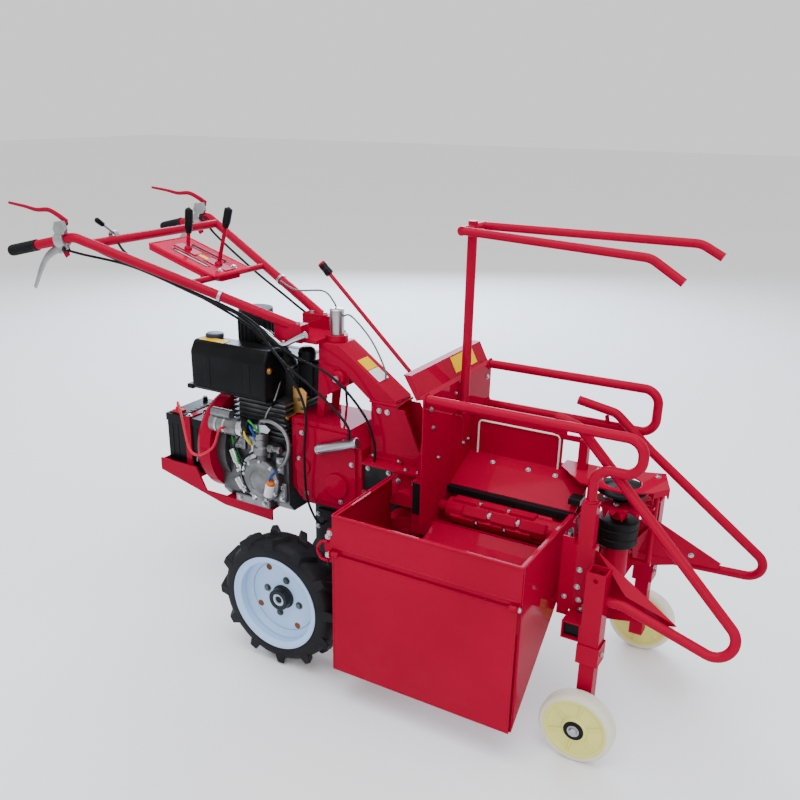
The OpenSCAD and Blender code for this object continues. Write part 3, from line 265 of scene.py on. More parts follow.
# bare metal: cast or plated, with blotchy tone, pits and dark grime
def bareMetal(name, colour, grime, rough, metal=1.0, pits=160, depth=0.0006, dirt=0.35, edge=0.0012):
    p = Paint(name, Metallic=metal)
    blotch = p.ramp(p.noise(14, 5, 0.6), 0.42, 0.72)
    fine = p.noise(pits, 4, 0.6)
    p.set(Base_Color=p.mix(blotch * dirt + p.ramp(fine, 0.55, 0.8) * 0.2, colour, grime))
    p.set(Roughness=rough + blotch * 0.16)
    p.bump(fine, 0.35, depth, edge)
    return p.material


castAlloy = bareMetal("castAlloy", (0.21, 0.215, 0.22), (0.06, 0.058, 0.055), 0.38, 0.9, 120, 0.001, 0.7)
darkAlloy = bareMetal("darkAlloy", (0.10, 0.102, 0.105), (0.03, 0.03, 0.03), 0.4, 0.85, 120, 0.001, 0.7)
zincPlate = bareMetal("zincPlate", (0.42, 0.43, 0.45), (0.15, 0.145, 0.14), 0.28)
brightSteel = bareMetal("brightSteel", (0.56, 0.57, 0.59), (0.20, 0.20, 0.20), 0.14, 1.0, 90, 0.0002, 0.35)
goldPlate = bareMetal("goldPlate", (0.56, 0.30, 0.09), (0.30, 0.14, 0.04), 0.3)
sootSteel = bareMetal("sootSteel", (0.07, 0.066, 0.062), (0.15, 0.085, 0.05), 0.5, 0.6)

# the control panel takes the tray's lighter enamel, a painted sheen
nodePaint = dict(axle_housing=blackPaint, control_panel=trayPaintedSheen, tie_bar=zincPlate,
                 engine_block=darkAlloy, fuel_tank=blackPlastic,
                 air_cleaner=blackRubber, muffler=sootSteel, starter_motor=castAlloy, battery=blackPlastic,
                 lock_housing=zincPlate, rubber_strip=blackRubber, grips=blackRubber,
                 lever_clamps=zincPlate, gear_levers=blackPlastic, tyre_right=tyreRubber,
                 tyre_left=tyreRubber, rim_right=rimPaint,
                 rim_left=rimPaint, front_wheel_right=creamNylon, front_wheel_left=creamNylon,
                 feed_drum=blackRubber, control_cables=blackRubber)
for name, node in nodes.items():
    node.data.materials.clear()
    node.data.materials.append(nodePaint.get(name, redPaint))
print("materials on", len(nodes), "nodes")


# a grid of points into quads; rows or columns may close on themselves
def gridFaces(rows, cols, wrapRows=False, wrapCols=False):
    i, j = np.meshgrid(np.arange(rows - (not wrapRows)), np.arange(cols - (not wrapCols)), indexing="ij")
    k, m = (i + 1) % rows, (j + 1) % cols
    quads = np.stack([i * cols + j, k * cols + j, k * cols + m, i * cols + m], -1).reshape(-1, 4)
    return [tuple(q) for q in quads.tolist()]


# a smooth curve through picked points: each stretch is the cubic set by its two ends and their neighbours
def flow(points, count):
    p = np.asarray(points, float)
    u = np.linspace(0, len(p) - 1, count)
    i = np.minimum(u.astype(int), len(p) - 2)
    t = (u - i)[:, None]
    a, b, c, d = p[np.maximum(i - 1, 0)], p[i], p[i + 1], p[np.minimum(i + 2, len(p) - 1)]
    return 0.5 * (2 * b + (c - a) * t + (2 * a - 5 * b + 4 * c - d) * t**2 + (3 * b - a - 3 * c + d) * t**3)


# an ellipse's points: cosine across, sine upwards
def ring(wide, high=None, count=12):
    a = np.linspace(0, 2 * np.pi, count, endpoint=False)
    return np.stack([wide * np.cos(a), (high or wide) * np.sin(a)], 1)


# a profile carried along a path: each ring lies on the path's sideways and upward directions, scaled by width
def sweep(path, profile, ref=(0.11, 0.07, 1), width=None):
    path = np.asarray(path, float)
    ahead = unit(np.gradient(path, axis=0))
    side = unit(np.cross(ahead, ref))
    up = np.cross(side, ahead)
    size = np.ones(len(path)) if width is None else np.asarray(width, float)
    flat = profile[None] * size[:, None, None]
    points = path[:, None] + flat[..., :1] * side[:, None] + flat[..., 1:] * up[:, None]
    n, k = points.shape[:2]
    ends = [tuple(range(k)), tuple(range((n - 1) * k, n * k))]
    return points.reshape(-1, 3), gridFaces(n, k, False, True) + ends


# a profile of (radius, height) turned about an axis: radius times the circle plus height along the axis
def lathe(centre, axis, profile, count=32, closed=False):
    axis = unit(axis)
    side = unit(np.cross(axis, (0.31, 0.2, 0.93) if abs(axis[2]) < 0.9 else (1, 0, 0)))
    up = np.cross(axis, side)
    a = np.linspace(0, 2 * np.pi, count, endpoint=False)
    circle = np.cos(a)[:, None] * side + np.sin(a)[:, None] * up
    profile = np.asarray(profile, float)
    points = np.asarray(centre) + profile[:, 1, None, None] * axis + profile[:, 0, None, None] * circle
    n = len(profile)
    ends = [] if closed else [tuple(range(count)), tuple(range((n - 1) * count, n * count))]
    return points.reshape(-1, 3), gridFaces(n, count, closed, True) + ends


# a box between two corners, to be rounded by a bevel
def block(low, high):
    pick = np.stack(np.meshgrid([0, 1], [0, 1], [0, 1], indexing="ij"), -1).reshape(-1, 3)
    points = np.where(pick, np.asarray(high, float), np.asarray(low, float))
    return points, [(0, 1, 3, 2), (4, 6, 7, 5), (0, 4, 5, 1), (2, 3, 7, 6), (0, 2, 6, 4), (1, 5, 7, 3)]


# a flat outline given a thickness along its normal
def plate(corners, thick):
    low = np.asarray(corners, float)
    lift = unit(np.cross(low[1] - low[0], low[2] - low[0])) * thick
    n = len(low)
    sides = [(i, (i + 1) % n, n + (i + 1) % n, n + i) for i in range(n)]
    return np.concatenate([low, low + lift]), [tuple(range(n))[::-1], tuple(range(n, 2 * n)), *sides]


# several shapes as one: points end to end, each face's numbers raised by the points before it
def join(*shapes):
    start = np.cumsum([0] + [len(points) for points, faces in shapes])
    faces = [tuple(i + int(s) for i in face) for s, shape in zip(start, shapes) for face in shape[1]]
    return np.concatenate([points for points, faces in shapes]), faces


# hexagon heads on washers: twelve points a ring, pulled in to six flats where the ring is a hexagon
boltForm = dict(rings=[(1.35, 0.0, 0), (1.35, 0.22, 0), (1.0, 0.22, 1), (1.0, 0.74, 1), (0.84, 0.9, 1),
                       (0.0, 0.92, 0)])


def bolts(places, normals, size):
    radius, height, hexed = np.array(boltForm["rings"]).T
    a = np.linspace(0, 2 * np.pi, 12, endpoint=False)
    flats = 1 + hexed[:, None] * (np.cos(np.pi / 6) / np.cos(a % (np.pi / 3) - np.pi / 6) - 1)
    across = radius[:, None] * flats
    tall = np.repeat(height[:, None], 12, 1)
    form = np.stack([across * np.cos(a), across * np.sin(a), tall], -1).reshape(-1, 3) * size
    places = np.asarray(places, float)
    normals = np.broadcast_to(unit(normals), places.shape)
    side = unit(np.cross(normals, (0.35, 0.21, 0.91)))
    frameAxes = np.stack([side, np.cross(normals, side), normals], 1)
    points = places[:, None] + np.einsum("ki,nij->nkj", form, frameAxes)
    one = np.array(gridFaces(len(radius), 12, False, True))
    faces = one[None] + (np.arange(len(places)) * len(form))[:, None, None]
    return points.reshape(-1, 3), [tuple(f) for f in faces.reshape(-1, 4).tolist()]


# a shape in millimetres on the machine's axes becomes a piece that rides on a body
finish = dict(sharpFrom=38, bevelSegments=2, weld=1e-6)


def put(name, shape, material, body="chassis", smooth=True, bevel=0.0, instead=()):
    points, faces = shape
    mesh = bpy.data.meshes.new(name)
    mesh.from_pydata(at(points).tolist(), [], faces)
    work = bmesh.new()
    work.from_mesh(mesh)
    bmesh.ops.remove_doubles(work, verts=work.verts, dist=finish["weld"])
    bmesh.ops.recalc_face_normals(work, faces=work.faces)
    work.to_mesh(mesh)
    work.free()
    mesh.materials.append(material)
    mesh.polygons.foreach_set("use_smooth", np.full(len(mesh.polygons), smooth))
    if smooth:
        mesh.set_sharp_from_angle(angle=math.radians(finish["sharpFrom"]))
    piece = bpy.data.objects.new(name, mesh)
    bpy.context.scene.collection.objects.link(piece)
    if bevel:
        edge = piece.modifiers.new("edge", "BEVEL")
        edge.width = bevel / 1000
        edge.segments = finish["bevelSegments"]
        edge.limit_method = "ANGLE"
    if body:
        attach(piece, body)
    if instead:
        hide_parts(*instead)
    return piece


# a path through corner points with each corner rounded off as a quadratic curve between its two legs
def rounded(corners, reach, closed=False, steps=7):
    p = np.asarray(corners, float)
    before, after = np.roll(p, 1, 0), np.roll(p, -1, 0)
    a = p + unit(before - p) * reach
    b = p + unit(after - p) * reach
    t = np.linspace(0, 1, steps)[None, :, None]
    arcs = (1 - t)**2 * a[:, None] + 2 * t * (1 - t) * p[:, None] + t**2 * b[:, None]
    if closed:
        return arcs.reshape(-1, 3)
    return np.concatenate([p[:1], arcs[1:-1].reshape(-1, 3), p[-1:]])


# a closed bead: the profile goes round a ring of points and meets itself
def bead(path, profile, ref=(0.11, 0.07, 1)):
    path = np.asarray(path, float)
    ahead = unit(np.roll(path, -1, 0) - np.roll(path, 1, 0))
    side = unit(np.cross(ahead, ref))
    up = np.cross(side, ahead)
    points = path[:, None] + profile[None, :, :1] * side[:, None] + profile[None, :, 1:] * up[:, None]
    return points.reshape(-1, 3), gridFaces(len(path), len(profile), True, True)


# places round a wheel's face: equal turns about the axle at one radius
def onWheel(middle, radius, turn, count):
    a = np.radians(turn + 360 / count * np.arange(count))
    return np.asarray(middle) + np.stack([radius * np.cos(a), 0 * a, radius * np.sin(a)], 1)


# drive wheels: rounded dish, rolled lip, black hub with its ring, four disc bolts, rusty plugs in the holes
driveWheel = dict(face=340, lip=(386, 146, 3.2), axle=213, bolts=(60, 77, 9), holes=(100, 30),
                  hub=[(38, 0.3), (38, 4), (33.5, 7), (33.5, 27), (31, 29.5), (21, 29.5), (19.5, 27),
                       (19.5, 20), (0, 20)],
                  ring=[(19, 20.5), (19, 24), (11, 24), (11, 20.5)],
                  rust=[(10.6, 0.1), (10, 0.8), (7.4, 1.0), (6.4, -0.6), (0, -0.8)], dishFillet=19,
                  dishWall=129.9)


# the dish turns out of the face as a quarter circle, then goes on as the wall
def dressDriveWheel(side, s):
    body = "drive_wheel_" + side
    middle = (0, s * driveWheel["face"], driveWheel["axle"])
    out = (0, s, 0)
    t = np.radians(np.linspace(-90, 0, 10))
    wall, reach = driveWheel["dishWall"], driveWheel["dishFillet"]
    curve = np.stack([wall - reach + reach * np.cos(t), reach + reach * np.sin(t) + 0.1], 1)
    dish = np.concatenate([curve, [(wall, 0.1)]])
    lipOut, lipRadius, lipBead = driveWheel["lip"]
    lip = ring(lipBead, lipBead, 10) + (lipRadius, lipOut - driveWheel["face"])
    sheet = join(lathe(middle, out, dish, 96, True), lathe(middle, out, lip, 96, True))
    put("rimDish_" + side, sheet, rimPaint, body)
    put("hub_" + side, lathe(middle, out, driveWheel["hub"], 48), blackPaint, body)
    put("hubRing_" + side, lathe(middle, out, driveWheel["ring"], 40, True), zincPlate, body)
    radius, turn, size = driveWheel["bolts"]
    put("hubBolts_" + side, bolts(onWheel(middle, radius, turn, 4), out, size), darkAlloy, body, False)
    radius, turn = driveWheel["holes"]
    spots = [lathe(p, out, driveWheel["rust"], 20) for p in onWheel(middle, radius, turn, 4)]
    put("rustRings_" + side, join(*spots), rustSpot, body)


# front wheels: cream disc with ribs, paler tread, black seal and zinc nut
frontWheel = dict(place=(918, 304, 100), ribCount=6, firstRib=20, rib=(33, 76, 6, 15.5, 20.5),
                  disc=[(10.4, 27), (30, 27), (34, 24.5), (35, 18), (40, 16.5), (70, 16.5), (75, 18.5),
                        (77, 21.5), (80, 22.6), (86, 22.6)],
                  tread=[(85, 22.9), (92, 22.7), (96, 20.8), (98.6, 17), (99.8, 11), (100, 4)],
                  seal=[(27, 26.6), (27, 28.8), (25, 29.6), (15, 29.6), (13.5, 28.4), (13.5, 26.6)],
                  nut=(12, 28))


# a half profile and its mirror image across the wheel's middle plane
def bothSides(profile):
    half = np.asarray(profile, float)
    return np.concatenate([half * (1, -1), half[::-1]])


# bars round a wheel's face: one box turned about the axle by equal angles from the first
def ribs(middle, s, count, inner, outer, wide, low, high):
    a = np.radians(360 / count * np.arange(count) + frontWheel["firstRib"])[:, None, None]
    form, faces = block((inner, -wide / 2, low), (outer, wide / 2, high))
    along, across, up = form[None, :, :1], form[None, :, 1:2], form[None, :, 2:]
    points = np.concatenate([along * np.cos(a) - across * np.sin(a), s * up + 0 * a,
                             along * np.sin(a) + across * np.cos(a)], -1)
    all8 = (np.array(faces)[None] + 8 * np.arange(count)[:, None, None]).reshape(-1, 4)
    return (points + np.asarray(middle)).reshape(-1, 3), [tuple(f) for f in all8.tolist()]


def dressFrontWheel(side, s):
    body = "front_wheel_" + side
    x, y, z = frontWheel["place"]
    middle = (x, s * y, z)
    disc = join(lathe(middle, (0, s, 0), bothSides(frontWheel["disc"]), 72, True),
                ribs(middle, 1, frontWheel["ribCount"], *frontWheel["rib"]),
                ribs(middle, -1, frontWheel["ribCount"], *frontWheel["rib"]))
    put("casterDisc_" + side, disc, creamNylon, body, True, 1.6, ("front_wheel_" + side,))
    tread = lathe(middle, (0, s, 0), bothSides(frontWheel["tread"]), 72, True)
    put("casterTread_" + side, tread, paleNylon, body)
    put("casterSeal_" + side, lathe(middle, (0, s, 0), frontWheel["seal"], 40, True), blackRubber, body)
    size, out = frontWheel["nut"]
    put("casterNut_" + side, bolts([(x, s * (y + out), z)], (0, s, 0), size), zincPlate, body, False)


for side, s in (("right", -1), ("left", 1)):
    dressDriveWheel(side, s)
    dressFrontWheel(side, s)
print("wheels dressed")

# the handlebars' own lines, as in the part's source
bars = dict(root=(-100, 68, 968), bend=(-782, 312, 1217), gripRun=(-265, 34, -60), gripLength=120,
            clampReach=20.4)


# the bar's point at x, on the straight line from its root to its bend
def barAt(s, x):
    a, b = np.array(bars["root"]) * (1, s, 1), np.array(bars["bend"]) * (1, s, 1)
    return a + (b - a) * (x - a[0]) / (b[0] - a[0])


# the same point moved inwards and up
def byBar(s, x, inwards, up):
    return barAt(s, x) + (0, -s * inwards, up)


# the grip's direction, and its point at a distance from the bend
def gripDir(s):
    return unit(np.array(bars["gripRun"]) * (1, s, 1))


def gripAt(s, d):
    return np.array(bars["bend"]) * (1, s, 1) + gripDir(s) * d


# beside the grip, square to it, at the clamp's reach
def clampSide(s, d):
    return gripAt(s, d) + unit(np.cross(gripDir(s), (0, 0, -s))) * bars["clampReach"]


gripEnd = float(np.linalg.norm(bars["gripRun"]))

# control cables: smooth tubes on the routes of the part's source
cables = dict(thick=4.0, thin=2.7, bendFrom=(-280, 0, 1000), bendTo=(-120, 0, 1000))
thickRoutes = [
    [clampSide(-1, 29), clampSide(-1, 4), byBar(-1, -720, 26, -26), byBar(-1, -480, 26, -32),
     byBar(-1, -280, 8, -36), (-130, -118, 909), (20, -100, 849), (122, -84, 748), (158, -78, 658),
     (160, -78, 598.4)],
    [(-818, -316, 1176), (-772, -296, 1164), byBar(-1, -640, 42, -38), byBar(-1, -460, 40, -44),
     byBar(-1, -280, 20, -52), (-150, -122, 881), (0, -124, 791),
     (88, -120, 714), (94, -117, 665.4)],
    [(-735, -188, 1208), (-698, -190, 1164), byBar(-1, -600, 56, -30), byBar(-1, -440, 52, -50),
     byBar(-1, -250, 10, -70), (-120, -120, 841), (-64, -118, 730),
     (-62, -130, 600), (-66, -118, 455), (-46, -108, 379), (-30, -92, 345), (-30, -68.5, 345)],
    [clampSide(1, 29), clampSide(1, 4), byBar(1, -720, 26, -26), byBar(1, -480, 26, -32),
     byBar(1, -280, 8, -36), (-130, 118, 909), (-80, 122, 790), (-64, 124, 630), (-60, 128, 530),
     (-58, 118, 500),
     (-58, 100.5, 500)]]
thinRoutes = [
    [byBar(1, -330, 20, 8), byBar(1, -230, 36, 34), (-90, 24, 1071), (-37, 2, 1049), (-23, 0, 1025.4)],
    [(-0.6, 0, 1009), (30, 0, 1011), (100, -4, 951), (146, -2, 871), (150, 0, 834)]]
greySheath = moulded("greySheath", (0.10, 0.10, 0.105), (0.20, 0.20, 0.20), 240, 0.45, 0.0003, 0.4, 0.0)


# tubes along smooth routes, joined as one piece that rides on no body
def putCable(name, routes, radius, material, instead=()):
    tubes = [sweep(flow(route, 96), ring(radius, radius, 12)) for route in routes]
    piece = put(name, join(*tubes), material, None, True, 0.0, instead)
    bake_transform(piece)


putCable("blackCables", thickRoutes, cables["thick"], blackRubber, ("control_cables",))
putCable("greyCables", thinRoutes, cables["thin"], greySheath)

# red battery lead and its clip on the near post
lead = dict(radius=4.5, clip=((-650, -86, 606), (-612, -54, 618)), tab=((-640, -80, 616), (-626, -62, 628)),
            route=[(-635, -70, 623.4), (-621, -84, 647), (-555, -138, 617), (-477, -196, 547.5),
                   (-427, -206, 537.5), (-367, -204, 577.5), (-345, -196, 636), (-343, -177.4, 640)])
put("batteryLead", sweep(flow(lead["route"], 80), ring(lead["radius"], count=14)), redWire, "chassis", True,
    0.0, ("battery_lead",))
put("leadClip", join(block(*lead["clip"]), block(*lead["tab"])), redWire, "chassis", True, 2.5)
print("cables laid")

# grips: rubber sleeves with rings, a collar at the inner end and a domed outer end
gripForm = dict(radius=16.6, ring=1.3, pitch=7.5, collar=18, collarLength=9, domeFrom=108, dome=1.6)


# radius: a clipped sine wave over the length, full at the collar, falling as an ellipse at the end
def putGrips():
    h = np.linspace(0, bars["gripLength"], 97)
    wave = np.clip(2.2 * np.sin(h * 2 * np.pi / gripForm["pitch"]), -0.3, 1)
    r = gripForm["radius"] + gripForm["ring"] * wave
    r = np.where(h < gripForm["collarLength"], gripForm["collar"], r)
    past = np.maximum(h - gripForm["domeFrom"], 0)
    r = np.minimum(r, np.sqrt(np.maximum(gripForm["collar"]**2 - past**2 * gripForm["dome"], 9)))
    shapes = [lathe(gripAt(s, gripEnd - bars["gripLength"]), gripDir(s), np.stack([r, h], 1), 28)
              for s in (-1, 1)]
    put("gripSleeves", join(*shapes), blackRubber, "handlebars", True, 0.0, ("grips",))


# hand levers: a flat blade that thins towards its tip, on a grey cast clamp; a second grey lever hangs below
leverForm = dict(plane=318, blade=(3.6, 8.5), lower=(6.0, 14.0), thick=12, flapThick=4, flapOff=8,
                 screw=6.5, screwOff=7, top=[(-798, 1262), (-838, 1281), (-878, 1293), (-932, 1290),
                                             (-985, 1297), (-1060, 1304)],
                 under=[(-806, 1194), (-846, 1180), (-900, 1152), (-940, 1110), (-968, 1066), (-984, 1042)],
                 collarAt=30, collar=[(15.2, 0), (22, 0), (24, 2), (24, 34), (22, 36), (15.2, 36)],
                 web=[(-838, 1222), (-846, 1240), (-836, 1262), (-800, 1266), (-790, 1240), (-800, 1226)],
                 horn=[(-832, 1196), (-850, 1184), (-842, 1162), (-806, 1184), (-804, 1200)],
                 flap=[(-838, 1214), (-884, 1204), (-880, 1190), (-856, 1192), (-826, 1150), (-808, 1160),
                       (-820, 1196)],
                 screws=[(-812, 1256), (-820, 1236), (-816, 1178)])
greyCast = bareMetal("greyCast", (0.34, 0.34, 0.35), (0.10, 0.10, 0.10), 0.42, 0.8, 150, 0.0008, 0.5)


# pairs of x and z as points at one y
def inPlane(pairs, y):
    x, z = np.asarray(pairs, float).T
    return np.stack([x, np.full(len(x), y), z], 1)


def putLevers():
    form, thick = leverForm, leverForm["thick"]
    blades, clamps, plates, screws = [], [], [], []
    for s in (-1, 1):
        y = s * form["plane"]
        path = flow(inPlane(form["top"], y), 48)
        blades.append(sweep(path, ring(*form["blade"], 12), width=np.linspace(1.05, 0.5, 48)))
        path = flow(inPlane(form["under"], y), 40)
        clamps.append(sweep(path, ring(*form["lower"], 12), width=np.linspace(1.1, 0.55, 40)))
        clamps.append(lathe(gripAt(s, form["collarAt"]), gripDir(s), form["collar"], 32, True))
        clamps += [plate(inPlane(form[name], y - thick / 2), -thick) for name in ("web", "horn")]
        plates.append(plate(inPlane(form["flap"], y - s * form["flapOff"]), form["flapThick"]))
        spots, off = inPlane(form["screws"], y), form["screwOff"]
        screws += [bolts(spots + (0, side * off, 0), (0, side, 0), form["screw"]) for side in (s, -s)]
    put("leverBlades", join(*blades), redPaint, "handlebars", True, 0.0, ("hand_levers",))
    put("leverClamps", join(*clamps), greyCast, "handlebars", True, 1.2, ("lever_clamps",))
    put("leverFlaps", join(*plates), redPaint, "handlebars", False, 1.0, ())
    put("leverScrews", join(*screws), blackPaint, "handlebars", False, 0.0, ())


# gear levers: red stems with black knobs in the panel's tray, with a bead for its rim, slot edges and bolts
gearForm = dict(levers=[(-478, -423, 1301, 66), (-604, -589, 1290, 82)], stem=6.3, knob=13.3, knobIn=10,
                trayRear=(-690, 1180.1), trayFront=(-420, 1099.1), trayHalf=90, upward=(0.29, 0, 0.957),
                seat=[(13, 0), (13, 4), (9, 9), (7, 12)], boot=(44, 20, 2.6), rim=5.5, rimBend=18,
                slotXs=(-628, -482), slotYs=(-44, 44), slotHalf=9, slotEdge=1.4,
                boltNormal=(0.287, 0, 0.958), bolts=((-446, -36), (-446, 36)), boltSize=7.5,
                strip=[(-566, -6), (-508, -6), (-508, 10), (-566, 10)],
                bracket=((-520, -46, 1074), (-428, 46, 1094)))


# the sloping tray's height at x, on the line from its rear to its front edge
def trayTop(x):
    (x0, z0), (x1, z1) = gearForm["trayRear"], gearForm["trayFront"]
    return z0 + (z1 - z0) * (x - x0) / (x1 - x0)


# pairs of x and y on the tray, lifted a little
def onTray(pairs, lift=0.0):
    return [(x, y, trayTop(x) + lift) for x, y in pairs]


# a knob's radius along its length: swells to full width, then closes as an ellipse
def knobProfile(length):
    t = np.linspace(0, 1, 14)
    swell = 0.72 + 0.28 * np.minimum(1, t * 4)
    close = np.sqrt(np.clip(1 - ((t - 0.86) / 0.14).clip(0)**2, 0.02, 1))
    return np.stack([gearForm["knob"] * swell * close, t * length], 1)


def putGearLevers():
    form = gearForm
    stems, knobs = [], []
    half, wide, thick = form["boot"]
    for footX, topX, topZ, length in form["levers"]:
        foot, top = np.array((footX, 0, trayTop(footX))), np.array((topX, 0, topZ))
        along = unit(top - foot)
        run = [foot, top - along * form["knobIn"]]
        stems.append(sweep(run, ring(form["stem"], count=16), ref=(0, 1, 0)))
        stems.append(lathe(foot + (0, 0, 2), form["upward"], form["seat"], 24))
        corners = [(footX - half, -wide), (footX + half, -wide), (footX + half, wide), (footX - half, wide)]
        stems.append(plate(onTray(corners, 0.2), thick))
        knobs.append(lathe(top - along * length, along, knobProfile(length), 28))
    put("gearStems", join(*stems), redPaint, "handlebars", True, 0.6, ("gear_levers",))
    put("gearKnobs", join(*knobs), blackPlastic, "handlebars", True, 0.0, ())
    (x0, z0), (x1, z1), w = form["trayRear"], form["trayFront"], form["trayHalf"] - 3
    rim = [(x0 + 4, -w, z0 - 5), (x1 - 4, -w, z1 - 3), (x1 - 4, w, z1 - 3), (x0 + 4, w, z0 - 5)]
    beadForm = ring(form["rim"], form["rim"], 10)
    rimPath = rounded(rim, form["rimBend"], True)
    # the rim bead in the tray's lighter enamel, with its painted sheen
    put("trayBead", bead(rimPath, beadForm), trayPaintedSheen, "handlebars", True, 0.0, ())
    (x0, x1), h, r = form["slotXs"], form["slotHalf"], form["slotEdge"]
    for i, y in enumerate(form["slotYs"]):
        edge = [(x0, y - h), (x1, y - h), (x1, y + h), (x0, y + h)]
        path = rounded(onTray(edge, 0.6), 6, True, 5)
        put(f"slotEdge_{i}", bead(path, ring(r, r, 6)), blackPaint, "handlebars")
    heads = bolts(onTray(form["bolts"]), form["boltNormal"], form["boltSize"])
    put("trayBolts", heads, zincPlate, "handlebars", False)
    put("trayStrip", plate(onTray(form["strip"], 0.1), 0.8), yellowVinyl, "handlebars", False)
    put("trayBracket", block(*form["bracket"]), redPaint, "handlebars", False, 3)


# throttle lever with its knob on the cross tube, and bands that hold the cables to the bars
throttle = dict(foot=(-735, -188, 1217), top=(-742, -246, 1262), rod=4, bandXs=(-345,), bandBack=(5, 0, 6),
                knobBack=24, knob=[(6, 0), (8.5, 4), (9, 22), (8, 30), (4, 34), (0.5, 35)],
                band=[(14.3, -8), (16.6, -8), (16.6, 8), (14.3, 8)],
                wrap=[(15.3, -5), (17.4, -5), (17.4, 5), (15.3, 5)])


def putThrottle():
    foot, top = np.array(throttle["foot"], float), np.array(throttle["top"], float)
    along = unit(top - foot)
    arm = sweep([foot - along * 8, foot + along * 30, top - along * 20], ring(throttle["rod"], count=10))
    put("throttleArm", arm, greyCast, "handlebars")
    knob = lathe(top - along * throttle["knobBack"], along, throttle["knob"], 20)
    put("throttleKnob", knob, blackPlastic, "handlebars")
    across = unit(barAt(1, -730) - barAt(-1, -730))
    band = lathe(foot - throttle["bandBack"], across, throttle["band"], 28, True)
    put("throttleBand", band, zincPlate, "handlebars")
    wraps = []
    for s in (-1, 1):
        run = unit(barAt(s, bars["bend"][0]) - barAt(s, bars["root"][0]))
        wraps += [lathe(barAt(s, x), run, throttle["wrap"], 28, True) for x in throttle["bandXs"]]
    put("barBands", join(*wraps), zincPlate, "handlebars")


# chrome handle of the swivel's lock, from the bracket's right side
lockHandle = dict(path=[(-70, -98, 962), (-104, -106, 946), (-146, -110, 926), (-182, -110, 940),
                        (-236, -108, 966)],
                  section=(8.5, 7), taper=(1.6, 0.8))


def putLockHandle():
    path, taper = flow(lockHandle["path"], 40), np.linspace(*lockHandle["taper"], 40)
    put("lockHandle", sweep(path, ring(*lockHandle["section"], 12), width=taper), brightSteel, "handlebars")


putGrips()
putLevers()
putGearLevers()
putThrottle()
putLockHandle()
print("handlebars dressed")


# drive tyres: round-shouldered body and tapered chevron lugs that run over the shoulder
tyre = dict(axle=213, track=332, lugs=12, slant=34, base=(22, 3, 55.6), tip=(12, 6, 52),
            around=48, soft=2.4, baseR=(193, 174), tipR=(212.6, 210), lugShift=20, wrapR=205,
            body=[(136.2, 42), (150.5, 56), (172, 56), (184, 52), (192, 42), (196, 24), (197, 0)])


# a lug's corners on cylinders round the axle: angle = start + (across + sideways x slant - shift) / radius
def lugShapes(s):
    across, inner, outer = tyre["base"]
    tipAcross, tipInner, tipOuter = tyre["tip"]
    u = np.array([-across, across, across, -across, -tipAcross, tipAcross, tipAcross, -tipAcross])
    v = np.array([inner, inner, outer, outer, tipInner, tipInner, tipOuter, tipOuter])
    r = np.repeat([*tyre["baseR"], *tyre["tipR"]], 2)
    shapes = []
    for side in (-1, 1):
        turns = 360 / tyre["lugs"] * np.arange(tyre["lugs"]) + (side + 1) * 90 / tyre["lugs"]
        lean = math.tan(math.radians(tyre["slant"]))
        a = np.radians(turns)[:, None] + (u + v * lean - tyre["lugShift"]) / tyre["wrapR"]
        points = np.stack([r * np.cos(a), side * v + 0 * a, r * np.sin(a)], -1)
        one = np.array([(0, 1, 2, 3), (7, 6, 5, 4), (0, 4, 5, 1), (1, 5, 6, 2), (2, 6, 7, 3), (3, 7, 4, 0)])
        faces = (one[None] + 8 * np.arange(tyre["lugs"])[:, None, None]).reshape(-1, 4)
        points = points.reshape(-1, 3) + (0, s * tyre["track"], tyre["axle"])
        shapes.append((points, [tuple(f) for f in faces.tolist()]))
    return shapes


# the half profile and its mirror image turned about the axle, joined with the lugs
def putTyre(side, s):
    half = np.array(tyre["body"], float)
    profile = np.concatenate([half * (1, -1), half[-2::-1]])
    body = lathe((0, s * tyre["track"], tyre["axle"]), (0, 1, 0), profile, tyre["around"], True)
    shape, wheel = join(body, *lugShapes(s)), "drive_wheel_" + side
    piece = put("tyreTread_" + side, shape, tyreRubber, wheel, True, tyre["soft"], ("tyre_" + side,))
    piece.modifiers["edge"].segments = 1


for side, s in (("right", -1), ("left", 1)):
    putTyre(side, s)
print("tyres made")

